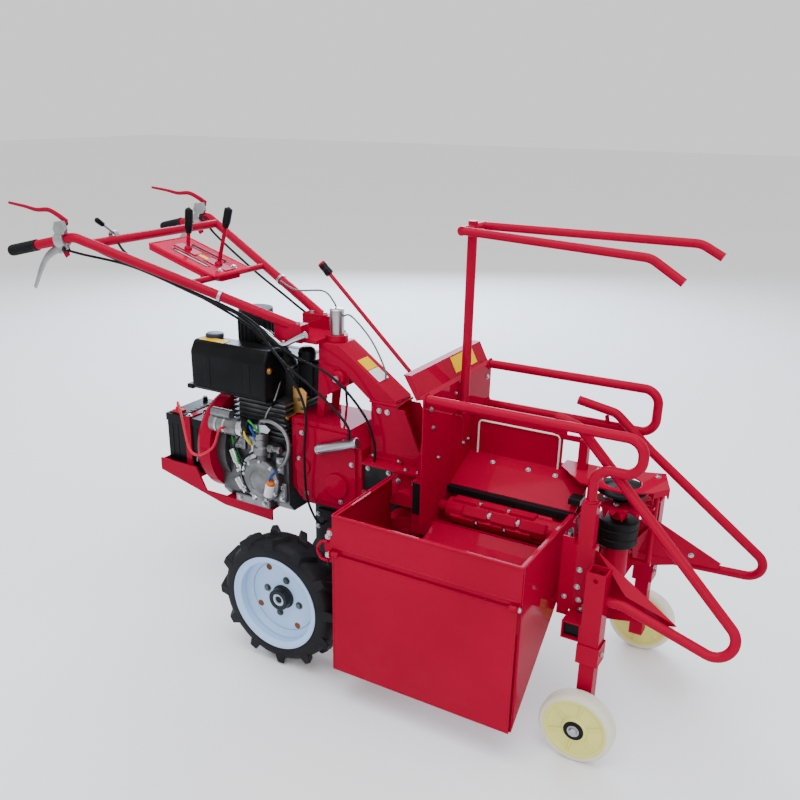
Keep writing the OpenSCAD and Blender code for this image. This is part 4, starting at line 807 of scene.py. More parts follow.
# engine: cast cover, injection pump with its pipes, starter nose, wiring, filter and feet on the right side
# turned parts are given as foot, axis, profile of radius and height, and count
engine = dict(cover=(-229, -139, 470), coverBolts=(66, 10, 9), pipeR=6.2, thinR=3.2, wireR=3.3,
              coverSteps=[(73, 0), (72, 5), (60, 9), (52, 6), (40, 8), (34, 14), (29, 17), (12, 18),
                          (0, 18)],
              pump=((-227, -134, 560), (0, 0, 1),
                    [(17, 0), (26, 3), (26, 26), (20, 30), (20, 52), (24, 55), (24, 72), (15, 76), (12, 92),
                     (6, 96), (0, 96)], 32),
              nose=((-232, -136, 600), (-0.94, -0.2, 0.28),
                    [(16, 0), (16, 34), (11, 38), (11, 56), (14, 58), (14, 70), (0, 70)], 24),
              elbow=((-196, -134, 586), (1, -0.15, 0.1),
                     [(13, 0), (13, 20), (9, 22), (9, 40), (12, 42), (12, 54), (0, 54)], 6),
              pipe=[(-228, -136, 654), (-214, -146, 676), (-168, -152, 684), (-122, -152, 662),
                    (-106, -150, 616), (-118, -150, 566), (-150, -140, 534)],
              thin=[(-214, -138, 640), (-196, -140, 700), (-186, -110, 742), (-196, -60, 800),
                    (-220, -30, 832)],
              arms=[([(-304, -134, 520), (-262, -134, 508), (-244, -134, 560), (-252, -134, 612),
                      (-276, -134, 618), (-268, -134, 566)], -7),
                    ([(-250, -150, 640), (-188, -150, 640), (-176, -150, 656), (-196, -150, 668),
                      (-256, -150, 660)], -5)],
              fittings=[((-352, -128, 552), (0.52, -0.12, -0.84),
                         [(11, 0), (15, 4), (15, 46), (11, 50), (11, 66), (15, 70), (15, 80), (0, 80)], 24),
                        ((-338, -124, 452), (0.66, -0.1, -0.74),
                         [(10, 0), (14, 3), (14, 40), (10, 44), (10, 58), (0, 58)], 24),
                        ((-300, -122, 500), (0.1, -0.99, 0.05),
                         [(15, 0), (15, 14), (10, 16), (10, 28), (0, 28)], 6),
                        ((-262, -128, 424), (0.4, -0.5, -0.77),
                         [(9, 0), (12, 3), (12, 30), (7, 34), (0, 34)], 20)],
              bosses=[((-336, -137, 560), (-290, -112, 604)), ((-322, -133, 434), (-292, -112, 478)),
                      ((-178, -128, 500), (-146, -112, 560)), ((-350, -126, 363), (-206, -92, 394)),
                      ((-172, -126, 402), (-140, -112, 470))],
              heads=[(-330, -126, 380), (-228, -126, 380), (-162, -128, 514), (-162, -128, 546),
                     (-313, -137, 574), (-156, -126, 416), (-156, -126, 456)],
              starterNose=((-352, -146, 640), (1, 0, 0),
                           [(31.6, 0), (31.6, 6), (29, 8), (29, 62), (31, 64), (31, 76), (26, 80)], 40),
              solenoidCap=((-275, -150, 654), (1, -0.1, 0.05),
                           [(22, 0), (23, 4), (23, 22), (19, 26), (10, 27), (0, 27)], 32),
              starterBand=((-385, -146, 640), (1, 0, 0), [(31.2, 0), (33, 0), (33, 9), (31.2, 9)], 40,
                           True),
              filter=((-196, -146, 424), (0.26, -0.05, 0.96),
                      [(9, 0), (16, 3), (16, 44), (13, 47), (9, 48), (0, 48)], 28),
              filterCap=((-184, -148, 468), (0.26, -0.05, 0.96),
                         [(14.5, 0), (14.5, 9), (11, 13), (0, 13)], 28),
              oilCap=((-160, -114, 590), (0, -1, 0),
                      [(15, 0), (15, 10), (20, 12), (20, 22), (15, 25), (0, 25)], 8))
wires = dict(greenWires=(greenWire, [[(-262, -150, 668), (-248, -164, 676), (-232, -160, 660),
                                      (-226, -152, 640)],
                                     [(-340, -140, 600), (-322, -150, 560), (-318, -142, 516),
                                      (-306, -134, 486)]]),
             blueWires=(blueWire, [[(-260, -152, 660), (-240, -168, 654), (-232, -160, 628),
                                    (-240, -146, 604)],
                                   [(-190, -150, 470), (-176, -156, 500), (-160, -150, 520)]]),
             yellowWires=(yellowWire, [[(-272, -158, 650), (-262, -172, 630), (-252, -166, 606),
                                        (-250, -150, 590)]]),
             darkWires=(blackRubber, [[(-270, -160, 646), (-290, -168, 612), (-316, -160, 580),
                                       (-322, -140, 540)],
                                      [(-204, -140, 690), (-176, -130, 700), (-150, -116, 690),
                                       (-138, -104, 660)],
                                      [(-258, -140, 560), (-290, -150, 530), (-300, -146, 470),
                                       (-270, -150, 420)]]))


# left side of the crankcase: bolted cover with a raised field, oil filler, dipstick and drain plug
leftSide = dict(face=115, cover=((-376, 418), (-172, 604)), field=((-348, 446), (-200, 576)), across=(3, 4),
                filler=[(16, 0), (16, 18), (22, 20), (22, 34), (18, 38), (6, 39), (0, 39)],
                plug=[(13, 0), (13, 6), (9, 7), (9, 16), (0, 16)],
                stick=[(-352, 122, 604), (-352, 128, 650), (-350, 130, 694)], stickR=4.2,
                stickTop=[(5, -4), (9, 0), (9, 14), (5, 18), (0, 18)])


def putLeftSide():
    y = leftSide["face"]
    (x0, z0), (x1, z1) = leftSide["cover"]
    (u0, w0), (u1, w1) = leftSide["field"]
    panels = [block((x0, y - 2, z0), (x1, y + 7, z1)), block((u0, y + 5, w0), (u1, y + 13, w1))]
    put("crankCover", join(*panels), castAlloy, "chassis", True, 5)
    nx, nz = leftSide["across"]
    xs, zs = np.linspace(x0 + 12, x1 - 12, nx + 1), np.linspace(z0 + 12, z1 - 12, nz)
    spots = [(x, y + 6.5, z) for x in xs for z in (zs[0], zs[-1])]
    spots += [(x, y + 6.5, z) for x in xs[[0, -1]] for z in zs[1:-1]]
    put("crankCoverBolts", bolts(spots, (0, 1, 0), 6.5), zincPlate, "chassis", False)
    put("oilFiller", lathe((-300, y - 3, 640), (0, 0.8, 0.6), leftSide["filler"], 28), blackPlastic)
    put("drainPlug", lathe((-270, y - 3, 400), (0, 1, 0), leftSide["plug"], 6), zincPlate, "chassis", False)
    put("dipstick", sweep(flow(leftSide["stick"], 24), ring(leftSide["stickR"])), brightSteel)
    knob = lathe(leftSide["stick"][-1], (0.05, 0.05, 1), leftSide["stickTop"], 20)
    put("dipstickTop", knob, blackPlastic)


def putEngine():
    right = (0, -1, 0)
    middle = np.array(engine["cover"], float)
    put("timingCover", lathe(middle, right, engine["coverSteps"], 56), castAlloy)
    spots = onWheel(middle - (0, 4, 0), *engine["coverBolts"])
    put("coverBolts", bolts(spots, right, 6.5), zincPlate, "chassis", False)
    pump = [lathe(*engine[name]) for name in ("pump", "nose", "elbow")]
    put("injectionPump", join(*pump), castAlloy, "chassis", True, 0.8)
    pipe = sweep(flow(engine["pipe"], 60), ring(engine["pipeR"]))
    thin = sweep(flow(engine["thin"], 60), ring(engine["thinR"]))
    put("fuelPipes", join(pipe, thin), castAlloy)
    put("governorArms", join(*[plate(*arm) for arm in engine["arms"]]), zincPlate, "chassis", False, 1.5)
    put("castFittings", join(*[lathe(*turned) for turned in engine["fittings"]]), brightSteel)
    put("castBosses", join(*[block(*boss) for boss in engine["bosses"]]), castAlloy, "chassis", True, 5)
    put("engineBolts", bolts(engine["heads"], right, 7), zincPlate, "chassis", False)
    put("starterNose", lathe(*engine["starterNose"]), brightSteel)
    put("solenoidCap", lathe(*engine["solenoidCap"]), blackPlastic)
    put("starterBand", lathe(*engine["starterBand"]), zincPlate)
    for name, (material, routes) in wires.items():
        put(name, join(*[sweep(flow(route, 30), ring(engine["wireR"], count=8)) for route in routes]),
            material)
    put("fuelFilter", lathe(*engine["filter"]), whiteVinyl)
    put("filterCap", lathe(*engine["filterCap"]), orangeCap)
    put("oilCap", lathe(*engine["oilCap"]), blackPlastic)


# valve cover, intake hose with clips, ribs of the air cleaner, gold-plated bracket, air box and breather
upperEngine = dict(valveCover=((-328, -30, 822), (-170, 100, 850)), hoseR=24, waves=13, waveHeight=0.05,
                   hose=[(-350, 12, 910), (-290, -20, 914), (-232, -34, 896), (-196, -30, 858),
                         (-190, -14, 822)],
                   clip=[(25.6, -4), (27.2, -4), (27.2, 4), (25.6, 4)], clipsAt=(6, 52),
                   cleaner=(-350, 20, 890), ribs=20, ribCircle=57, ribHeight=62, ribR=3.2, bracketY=-62,
                   bracket=[(-146, 694), (-100, 700), (-94, 768), (-112, 782), (-146, 776)],
                   foot=((-148, -66, 690), (-143, -10, 780)), fold=((-150, -104, 680), (-140, -60, 692)),
                   heads=[(-122, -62, 742), (-112, -62, 714)], airBox=((-150, -36, 742), (-92, 76, 858)),
                   bowlAt=(-122, -20, 856), bowl=[(20, 0), (27, 5), (29, 26), (24, 40), (15, 46), (0, 46)])


# the hose's width waves along its length; the cleaner's ribs stand on a circle
def putUpperEngine():
    form = upperEngine
    put("valveCover", block(*form["valveCover"]), blackPlastic, "chassis", True, 9)
    path = flow(form["hose"], 60)
    size = 1 + form["waveHeight"] * np.sin(np.linspace(0, 2 * form["waves"] * np.pi, 60))
    put("intakeHose", sweep(path, ring(form["hoseR"], count=24), width=size), blackRubber)
    clips = [lathe(path[i], path[i + 1] - path[i], form["clip"], 28, True) for i in form["clipsAt"]]
    put("hoseClips", join(*clips), zincPlate)
    x, y, z = form["cleaner"]
    count, r = form["ribs"], form["ribCircle"]
    turn = np.radians(np.arange(count) * 360 / count)
    feet = np.stack([x + r * np.cos(turn), y + r * np.sin(turn), np.full(count, z)], 1)
    rods = [sweep([foot, foot + (0, 0, form["ribHeight"])], ring(form["ribR"], count=8), (1, 0, 0))
            for foot in feet]
    put("cleanerRibs", join(*rods), blackRubber)
    face = plate(inPlane(form["bracket"], form["bracketY"]), 5)
    sheets = join(face, block(*form["foot"]), block(*form["fold"]))
    put("goldBracket", sheets, goldPlate, "chassis", False, 1.5)
    put("bracketBolts", bolts(form["heads"], (0, -1, 0), 7), darkAlloy, "chassis", False)
    put("airBox", block(*form["airBox"]), blackPlastic, "chassis", True, 10)
    put("breatherPot", lathe(form["bowlAt"], (0, 0, 1), form["bowl"], 28), blackPlastic)


# fuel tank: rounded shell, faceted cap, seam, bare yellow label, brass screw, lugs and ribs
tank = dict(cap=[(29, 0), (30, 2), (30, 12), (26, 16), (12, 17), (0, 17)], capAt=(-448, -72, 897), seam=752,
            span=(-490, -190), label=[(-468, -126), (-366, -126), (-366, -92), (-468, -92)], labelAt=900.1,
            section=[(-150, 746), (-150, 866), (-130, 900), (-62, 900), (-42, 876), (-42, 746), (-58, 735),
                     (-134, 735)],
            loop=[(-489, -149), (-191, -149), (-191, -43), (-489, -43)], loopBend=22, seamBead=(2.4, 3.2),
            screw=(-190.5, -128, 838), soft=13, straps=(-420, -260), strapHalf=11,
            lugs=[((-512, -150, 736), (-486, -116, 752)), ((-200, -140, 728), (-176, -104, 740))])
capBlue = moulded("capBlue", (0.03, 0.032, 0.055), (0.07, 0.07, 0.10), 200, 0.4)


def putTank():
    put("tankCap", lathe(tank["capAt"], (0, 0, 1), tank["cap"], 20), capBlue, "chassis", False, 1.2)
    x0, x1 = tank["span"]
    shell = plate([(x0, y, z) for y, z in tank["section"]], x0 - x1)
    piece = put("tankShell", shell, blackPlastic, "chassis", True, tank["soft"], ("fuel_tank",))
    piece.modifiers["edge"].segments = 4
    loop = rounded([(x, y, tank["seam"]) for x, y in tank["loop"]], tank["loopBend"], True)
    put("tankSeam", bead(loop, ring(*tank["seamBead"], 8)), blackPlastic)
    label = plate([(x, y, tank["labelAt"]) for x, y in tank["label"]], 0.9)
    put("tankLabel", label, yellowVinyl, "chassis", False)
    put("tankScrew", bolts([tank["screw"]], (1, 0, 0), 8), goldPlate, "chassis", False)
    put("tankLugs", join(*[block(*lug) for lug in tank["lugs"]]), blackPlastic, "chassis", True, 4)
    half = tank["strapHalf"]
    straps = [block((x - half, -151.2, 760), (x + half, -149.4, 856)) for x in tank["straps"]]
    put("tankRibs", join(*straps), blackPlastic, "chassis", True, 0.8)


# fan grille: wire rings and spokes in the shroud's mouth, with the fan's dished hub behind
grille = dict(middle=(-471, -5, 537.5), rings=(92, 78, 64, 50, 36, 22), wire=2.2, spokes=6, spoke=2.6,
              spokeRun=(18, 95), spokeIn=3, hubAt=(-459, -5, 537.5),
              hub=[(58, 0), (52, 4), (30, 6), (26, 9), (0, 9)], boltsAt=(-473, -5, 537.5),
              boltRing=(158, 15, 6))


# rings: circles about the fan's axis; spokes: equal turns between two radii
def putGrille():
    middle = np.array(grille["middle"], float)
    a = np.linspace(0, 2 * np.pi, 72, endpoint=False)
    circle = np.stack([0 * a, np.cos(a), np.sin(a)], 1)
    lines = [bead(middle + r * circle, ring(grille["wire"], count=6), (1, 0, 0)) for r in grille["rings"]]
    behind = middle + (grille["spokeIn"], 0, 0)
    for turn in np.radians(np.arange(grille["spokes"]) * 360 / grille["spokes"]):
        ray = np.array((0, math.cos(turn), math.sin(turn)))
        ends = [behind + ray * r for r in grille["spokeRun"]]
        lines.append(sweep(ends, ring(grille["spoke"], count=6), (1, 0, 0)))
    put("fanGrille", join(*lines), blackPaint)
    put("fanHub", lathe(grille["hubAt"], (-1, 0, 0), grille["hub"], 36), castAlloy)
    spots = onWheel((0, 0, 0), *grille["boltRing"])[:, [1, 0, 2]] + grille["boltsAt"]
    put("shroudBolts", bolts(spots, (-1, 0, 0), 7), zincPlate, "chassis", False)


# battery: caps and a step on the lid, zinc posts, ribs on the near side, nuts on the strap
battery = dict(lidTop=607, capX=-599, capYs=(-60, -36, -12, 12, 36, 60), postX=-635, postY=70, postUp=14,
               cap=[(9, 0), (9, 3), (7.5, 4.5), (0, 4.5)],
               post=[(8, 0), (8, 5), (6.5, 6), (6.5, 9), (0, 9)],
               step=((-660, -88), (-590, 88)), ribXs=(-648, -624, -560, -536), ribLong=6,
               nuts=[(-568, -90, 611), (-568, 90, 611)])


def putBattery():
    z = battery["lidTop"]
    caps = [lathe((battery["capX"], y, z), (0, 0, 1), battery["cap"], 18) for y in battery["capYs"]]
    put("cellCaps", join(*caps), blackPlastic)
    low, high = battery["step"]
    put("lidStep", block((*low, z - 1), (*high, z + 3)), blackPlastic, "chassis", True, 2)
    x, y, up = battery["postX"], battery["postY"], battery["postUp"]
    posts = [lathe((x, s * y, z + up), (0, 0, 1), battery["post"], 20) for s in (-1, 1)]
    put("batteryPosts", join(*posts), zincPlate)
    ribsOn = [block((x, -96.5, 430), (x + battery["ribLong"], -94.5, 570)) for x in battery["ribXs"]]
    put("batteryRibs", join(*ribsOn), blackPlastic, "chassis", True, 0.7)
    put("strapNuts", bolts(battery["nuts"], (0, 0, 1), 7.5), zincPlate, "chassis", False)


putEngine()
putLeftSide()
putUpperEngine()
putTank()
putGrille()
putBattery()
print("engine dressed")


# snapping rolls: brickwork of pillow blocks round a core, as radius over angle and length
rolls = dict(height=520, ys=dict(right=-92, left=2), core=32, flat=38, corner=41, span=(425, 763), rows=6,
             blocks=3, halfWide=15.5, first=439, long=77.714, pitch=85.714, soft=5.0,
             stubs=((395.5, 430, 16), (757, 780, 12)))


# blocks rise from the core where length and angle lie inside a brick, with a quarter round at the edges
def rollSurface(y, turn):
    step = 360 / rolls["rows"]
    x = np.linspace(*rolls["span"], 150)[:, None]
    a = np.radians(np.linspace(0, 360, 168, endpoint=False))[None, :]
    row = np.round((np.degrees(a) - turn) / step)
    off = np.abs(a - np.radians(turn + step * row))
    along = (x - rolls["first"] - (row % 2) * rolls["long"] / 2) % rolls["pitch"]
    count = np.floor((x - rolls["first"] - (row % 2) * rolls["long"] / 2) / rolls["pitch"])
    inside = np.minimum(along, rolls["long"] - along) * ((count >= 0) & (count < rolls["blocks"]))
    side = (np.arctan2(rolls["halfWide"], rolls["flat"]) - off) * rolls["flat"]
    rise = np.clip(inside / rolls["soft"], 0, 1) * np.clip(side / rolls["soft"] + 0.5, 0, 1)
    rise = np.sqrt(1 - (1 - rise)**2)
    r = rolls["core"] + (np.minimum(rolls["flat"] / np.cos(off), rolls["corner"]) - rolls["core"]) * rise
    points = np.stack([x + 0 * a, y - r * np.sin(a), rolls["height"] + r * np.cos(a)], -1)
    n, k = r.shape
    ends = [tuple(range(k)), tuple(range((n - 1) * k, n * k))]
    return points.reshape(-1, 3), gridFaces(n, k, False, True) + ends


def putRolls():
    for side, turn in (("right", 0), ("left", 30)):
        y = rolls["ys"][side]
        body = "snapping_roll_" + side
        stubs = [lathe((x0, y, rolls["height"]), (1, 0, 0), [(r, 0), (r, x1 - x0)], 32)
                 for x0, x1, r in rolls["stubs"]]
        put("rollBlocks_" + side, join(rollSurface(y, turn), *stubs), redPaint, body, True, 0.0,
            ("roll_" + side,))
        rows = np.arange(rolls["rows"])
        a = np.radians(turn + 360 / rolls["rows"] * rows)
        out = np.stack([0 * a, -np.sin(a), np.cos(a)], 1)
        start = rolls["first"] + (rows % 2) * rolls["long"] / 2
        foot = out * (rolls["core"] - 0.5) + (0, y, rolls["height"])
        spots = [foot + np.stack([start + j * rolls["pitch"] - 4, 0 * a, 0 * a], 1) for j in (1, 2)]
        heads = bolts(np.concatenate(spots), np.concatenate([out, out]), 6.5)
        put("rollBolts_" + side, heads, zincPlate, body, False)


# ear bin: rolled rim, door hems, hinge pins, latch hook and its bracket bolts
earBin = dict(rear=235, front=784, out=-424, top=578, rearIn=-107, frontIn=-75, doorFace=-431, doorLow=98,
              doorHigh=467, hingeY=-433, hingeZ=470, rimR=3.6, hemR=2.4, foldUp=14, fold=(2.0, 3.4),
              knuckleXs=(241, 758), knuckle=[(6.2, 0), (7.4, 1), (7.4, 19), (6.2, 20)],
              hook=[(224, -426, 498), (206, -430, 496), (194, -431, 478), (194, -431, 462),
                    (206, -430, 444), (224, -426, 442)],
              heads=[(222, -424, 512), (221, -424, 456), (228, -424, 524)], seamY=-418, seamZs=(112, 560))


def putBin():
    b = earBin
    rear, front, out, top = b["rear"], b["front"], b["out"], b["top"]
    rim = [(rear, b["rearIn"], top), (rear, out, top), (front, out, top), (front, b["frontIn"], top)]
    put("binRim", sweep(rounded(rim, 7), ring(b["rimR"], count=12)), redPaint)
    low, high, y = b["doorLow"] + 3, b["doorHigh"] - 3, b["doorFace"] + 0.6
    x0, x1 = rear + 8, front - 8
    hem = rounded([(x0, y, low), (x1, y, low), (x1, y, high), (x0, y, high)], 6, True, 4)
    put("doorHem", bead(hem, ring(b["hemR"], count=8), (0, 1, 0)), redPaint, "bin_door")
    band = [(x, out - 0.2, b["hingeZ"] + b["foldUp"]) for x in (rear + 4, front - 4)]
    put("binFold", sweep(np.linspace(*band, 12), ring(*b["fold"], 8)), redPaint)
    hinge = [(x, b["hingeY"], b["hingeZ"]) for x in (rear, front)]
    put("hingePins", bolts(hinge, [(-1, 0, 0), (1, 0, 0)], 6), zincPlate, "chassis", False)
    knuckles = [lathe((x, b["hingeY"], b["hingeZ"]), (1, 0, 0), b["knuckle"], 20) for x in b["knuckleXs"]]
    put("doorKnuckles", join(*knuckles), redPaint, "bin_door")
    put("latchHook", sweep(flow(b["hook"], 30), ring(5, 4, 10)), redPaint)
    put("bracketHeads", bolts(b["heads"], (0, -1, 0), 6.5), zincPlate, "chassis", False)
    seam = [(front + 0.3, b["seamY"], z) for z in b["seamZs"]]
    put("binSeam", sweep(np.linspace(*seam, 12), ring(2.0, 2.0, 8), (1, 0, 0)), redPaint)


# bolt heads by the face they sit on: normal, size, places
boltRows = dict(
    hoodFace=((1, 0, 0), 5.8, [(395, -23, 840), (395, -175, 836), (395, -159, 778), (395, -121, 677),
                               (395, 75, 671), (395, 41, 669), (395, 190, 836)]),
    mastPlate=((1, 0, 0), 5.5, [(401, 13, 848), (401, 13, 802)]),
    deck=((0, -0.436, 0.9), 6, [(482, 67, 617.5), (594, 67, 617.5), (676, 67, 617.5)]),
    column=((0, -1, 0), 5.8, [(858, -220, 502), (856, -220, 452), (863, -220, 415), (880, -220, 400),
                              (824, -220, 415), (869, -220, 388)]),
    chainPlate=((0, -1, 0), 6, [(248, -84, 558), (301, -84, 566), (301, -84, 518), (243, -84, 510)]),
    gearCover=((0, -1, 0), 6, [(-92, -100, 648), (64, -100, 648), (92, -100, 580), (52, -100, 446),
                               (-76, -100, 447), (-104, -100, 560)]),
    gearCoverLeft=((0, 1, 0), 6, [(-92, 100, 648), (64, 100, 648), (92, 100, 580), (52, 100, 446),
                                  (-76, 100, 447), (-104, 100, 560)]),
    axleSide=((0, -1, 0), 6, [(-56, -68, 366), (-56, -68, 322), (46, -68, 366), (46, -68, 322)]),
    postSide=((0, -1, 0), 6.5, [(186, -50, 752), (158, -50, 752)]),
    postFoot=((0, 0, 1), 6.5, [(142, -55, 607), (232, -55, 607), (142, 55, 607), (232, 55, 607),
                               (272, -84, 598), (314, -84, 598), (272, 84, 598), (314, 84, 598)]),
    armBoss=((0, -1, 0), 8, [(14, -67, 830)]),
    caseRear=((-1, 0, 0), 6, [(330, -138, 456), (330, -138, 584), (330, 88, 456), (330, 88, 584)]),
    legCollars=((1, 0, 0), 6.5, [(947, -255, 300), (947, 255, 300)]),
    cover=((0, 0, 1), 6, [(792, 92, 652), (948, 132, 652)]),
    clutchSide=((0, -1, 0), 6, [(140, -83, 574), (212, -83, 574), (212, -83, 516)]),
    leftWall=((0, 1, 0), 6, [(408, 101, 400), (408, 101, 560), (408, 101, 716), (664, 101, 716),
                             (536, 101, 716), (668, 101, 480), (536, 101, 396)]),
    leftBeak=((0.22, -0.973, -0.07), 6, [(1049, 216, 400)]))


def putBolts():
    for name, (normal, size, places) in boltRows.items():
        put("bolts_" + name, bolts(places, normal, size), zincPlate, "chassis", False)
    base = [(x, y, 986) for x in (-165, -115) for y in (-74, 74)]
    put("bolts_barBase", bolts(base, (0, 0, 1), 7.5), zincPlate, "handlebars", False)


# bare labels: hood facet, arm slope
labels = dict(hood=((355.5, 931), (377, 889), 10, 150), armHigh=((72, 889.4), (108, 863.9), -34, 22),
              armLow=((110, 862.5), (148, 835.6), -34, 22))


# a thin plate between two lines across the machine
def slopeLabel(name, high, low, y0, y1, material, thick=0.8):
    corners = [(high[0], y0, high[1]), (low[0], y0, low[1]), (low[0], y1, low[1]), (high[0], y1, high[1])]
    put(name, plate(corners, thick), material, "chassis", False)


def putLabels():
    slopeLabel("hoodLabel", *labels["hood"], yellowVinyl)
    slopeLabel("armLabelHigh", *labels["armHigh"], yellowVinyl)
    slopeLabel("armLabelLow", *labels["armLow"], whiteVinyl)


# steering arm as pressed box with rounded edges; its webs narrow towards the gearbox
armForm = dict(half=45, box=[(-62, 931), (12, 931), (214, 788), (214, 772), (130, 772), (110, 786),
                             (10, 863), (-62, 863)],
               web=[(-72, 690), (-59, 905), (8, 905), (44, 838), (40, 806), (10, 790), (-36, 764),
                    (-46, 690)],
               boss=[(23, 0), (23, 12), (20, 14), (11, 14), (11, 22), (0, 22)], bossAt=(14, -45, 830),
               webYs=(-44.2, 35.6), webThick=8.6, foot=((122, -50, 772), (220, 50, 780)))


def putArm():
    half = armForm["half"]
    webs = [plate(inPlane(armForm["web"], y), armForm["webThick"]) for y in armForm["webYs"]]
    boss = lathe(armForm["bossAt"], (0, -1, 0), armForm["boss"], 40)
    shapes = [plate(inPlane(armForm["box"], -half), 2 * half), *webs, boss, block(*armForm["foot"])]
    put("armPressing", join(*shapes), redPaint, "chassis", True, 3, ("arm",))


# hood as folded sheet: front panel, two facets and a short flange, with gussets at its ends and ribs behind
hoodForm = dict(half=218, line=[(395, 600), (395, 874), (381, 880), (353, 934), (332, 934), (332, 931),
                                (351, 931), (378, 878), (391.5, 872), (391.5, 600)],
                gusset=[(393, 874), (381, 880), (353, 934), (332, 934), (372, 868)],
                rib=[(392, 602), (392, 866), (362, 860), (332, 640), (332, 602)], ribYs=(-120, 4, 124),
                extras=[((391.5, -218, 500), (395, -150, 601)), ((394, -30, 620), (399, -24, 844)),
                        ((328, -14, 776), (392, 14, 810))])


def putHood():
    half = hoodForm["half"]
    shapes = [plate(inPlane(hoodForm["line"], -half), -2 * half)]
    shapes += [plate(inPlane(hoodForm["gusset"], y), 3) for y in (-half, half - 3)]
    shapes += [plate(inPlane(hoodForm["rib"], y), 4) for y in hoodForm["ribYs"]]
    shapes += [block(*extra) for extra in hoodForm["extras"]]
    put("hoodSheet", join(*shapes), redPaint, "chassis", False, 1.2, ("hood",))


# inclined zinc bar on lugs of the gearbox, ear chute, trough below the right roll, dark panels
bar = dict(ends=((-22, -117, 612), (124, -117, 664)), radius=16, lugs=[(-18, 614), (112, 660)], lugY=-118,
           lug=[(9, 0), (9, 20)])
trough = dict(turn=(216, 290), inner=50, outer=52.5, length=379)
darkPanels = [((126, -83, 502), (225, -79, 589)), ((332, -152, 500), (391, -149, 598)),
              ((200, -78, 330), (330.5, -74, 500)), ((752, -36, 588), (786, 4, 606))]
chuteForm = dict(span=(395, 781), line=[(-131, 487), (-170, 464), (-206, 451)], thick=3)

# stepped round cover of the roll drive, and the fold that stands above the left deck's wall
driveCover = dict(centre=(283, -77, 402),
                  profile=[(74, 0), (74, 9), (71, 12), (58, 13), (54, 16), (53, 24), (49, 27), (18, 29),
                           (16, 33), (0, 34)])
wallLip = dict(corners=[(396, 101, 736), (396, 101, 762), (690, 101, 762), (690, 101, 736)], thick=-4)


def putGearSide():
    a, b = np.array(bar["ends"], float)
    r = bar["radius"]
    body = [(r - 2, 0), (r, 2), (r, 14), (r - 1.5, 16), (r - 1.5, 139), (r, 141), (r, 153), (r - 2, 155)]
    lugs = [lathe((x, bar["lugY"], z), (0, 1, 0), bar["lug"], 16) for x, z in bar["lugs"]]
    shape = join(lathe(a, b - a, body, 36), *lugs)
    put("tieBar", shape, zincPlate, "chassis", True, 0.0, ("tie_bar",))
    (x0, x1), line = chuteForm["span"], np.array(chuteForm["line"], float)
    corners = np.concatenate([line, line[::-1] - (0, chuteForm["thick"])])
    sheet = plate([(x0, y, z) for y, z in corners], x0 - x1)
    put("chuteSheet", sheet, redPaint, "chassis", False, 0.8, ("chute",))
    a = np.radians(np.linspace(*trough["turn"], 16))
    arc = np.stack([np.cos(a), np.sin(a)], 1)
    corners = np.concatenate([arc * trough["inner"], arc[::-1] * trough["outer"]])
    corners = corners + (rolls["ys"]["right"], rolls["height"])
    put("rollTrough", plate([(x0, y, z) for y, z in corners], trough["length"]), redPaint, "chassis", False)
    put("darkPanels", join(*[block(*panel) for panel in darkPanels]), blackPaint, "chassis", True, 2)
    put("driveCover", lathe(driveCover["centre"], (0, -1, 0), driveCover["profile"], 56), redPaint)
    put("wallLip", plate(wallLip["corners"], wallLip["thick"]), redPaint, "chassis", False, 1.0)


# left divider's skirt: the beak's sheet goes on behind the feed wheel
skirt = dict(outer=[(858, 168, 392), (858, 168, 484), (945, 186.5, 499), (1128, 236, 386), (1124, 236, 366),
                    (900, 184, 384)])


def putSkirt():
    put("beakSkirt", plate(skirt["outer"], 2.5), redPaint, "chassis", False, 0.6)


# pressed ribs along the head's left wall
wallRibs = dict(span=(424, 664), y=101, heights=(440, 520, 600), section=(4.5, 9))


def putWallRibs():
    x0, x1 = wallRibs["span"]
    y, section = wallRibs["y"], ring(*wallRibs["section"], 12)
    lines = [np.linspace((x0, y, z), (x1, y, z), 12) for z in wallRibs["heights"]]
    put("wallRibs", join(*[sweep(line, section, (0, 1, 0)) for line in lines]), redPaint)


# white edge rubber round the wall of the left deck
trim = dict(route=[(420, 93.4, 622), (420, 93.4, 731), (672, 93.4, 731), (672, 93.4, 622)],
            section=(2.8, 4.2))


# rippled weld rings where tubes meet plates: the ring's radius waves a little round the tube
welds = dict(bead=3.4, ripple=0.7, waves=13,
             rings=[((396, -205, 873), (1, 0, 0), 14), ((396, 205, 873), (1, 0, 0), 14),
                    ((396, 205, 748), (1, 0, 0), 14), ((865, -205, 691), (0, 0, 1), 14),
                    ((412, 0, 1300), (0, 1, 0), 13)])


def weldRing(centre, axis, radius):
    axis = unit(axis)
    side = unit(np.cross(axis, (0.3, 0.5, 0.8)))
    a = np.linspace(0, 2 * np.pi, 64, endpoint=False)
    r = radius + welds["ripple"] * np.sin(welds["waves"] * a)
    ray = np.cos(a)[:, None] * side + np.sin(a)[:, None] * np.cross(axis, side)
    path = np.asarray(centre) + r[:, None] * ray
    return bead(path, ring(welds["bead"], count=8), axis)
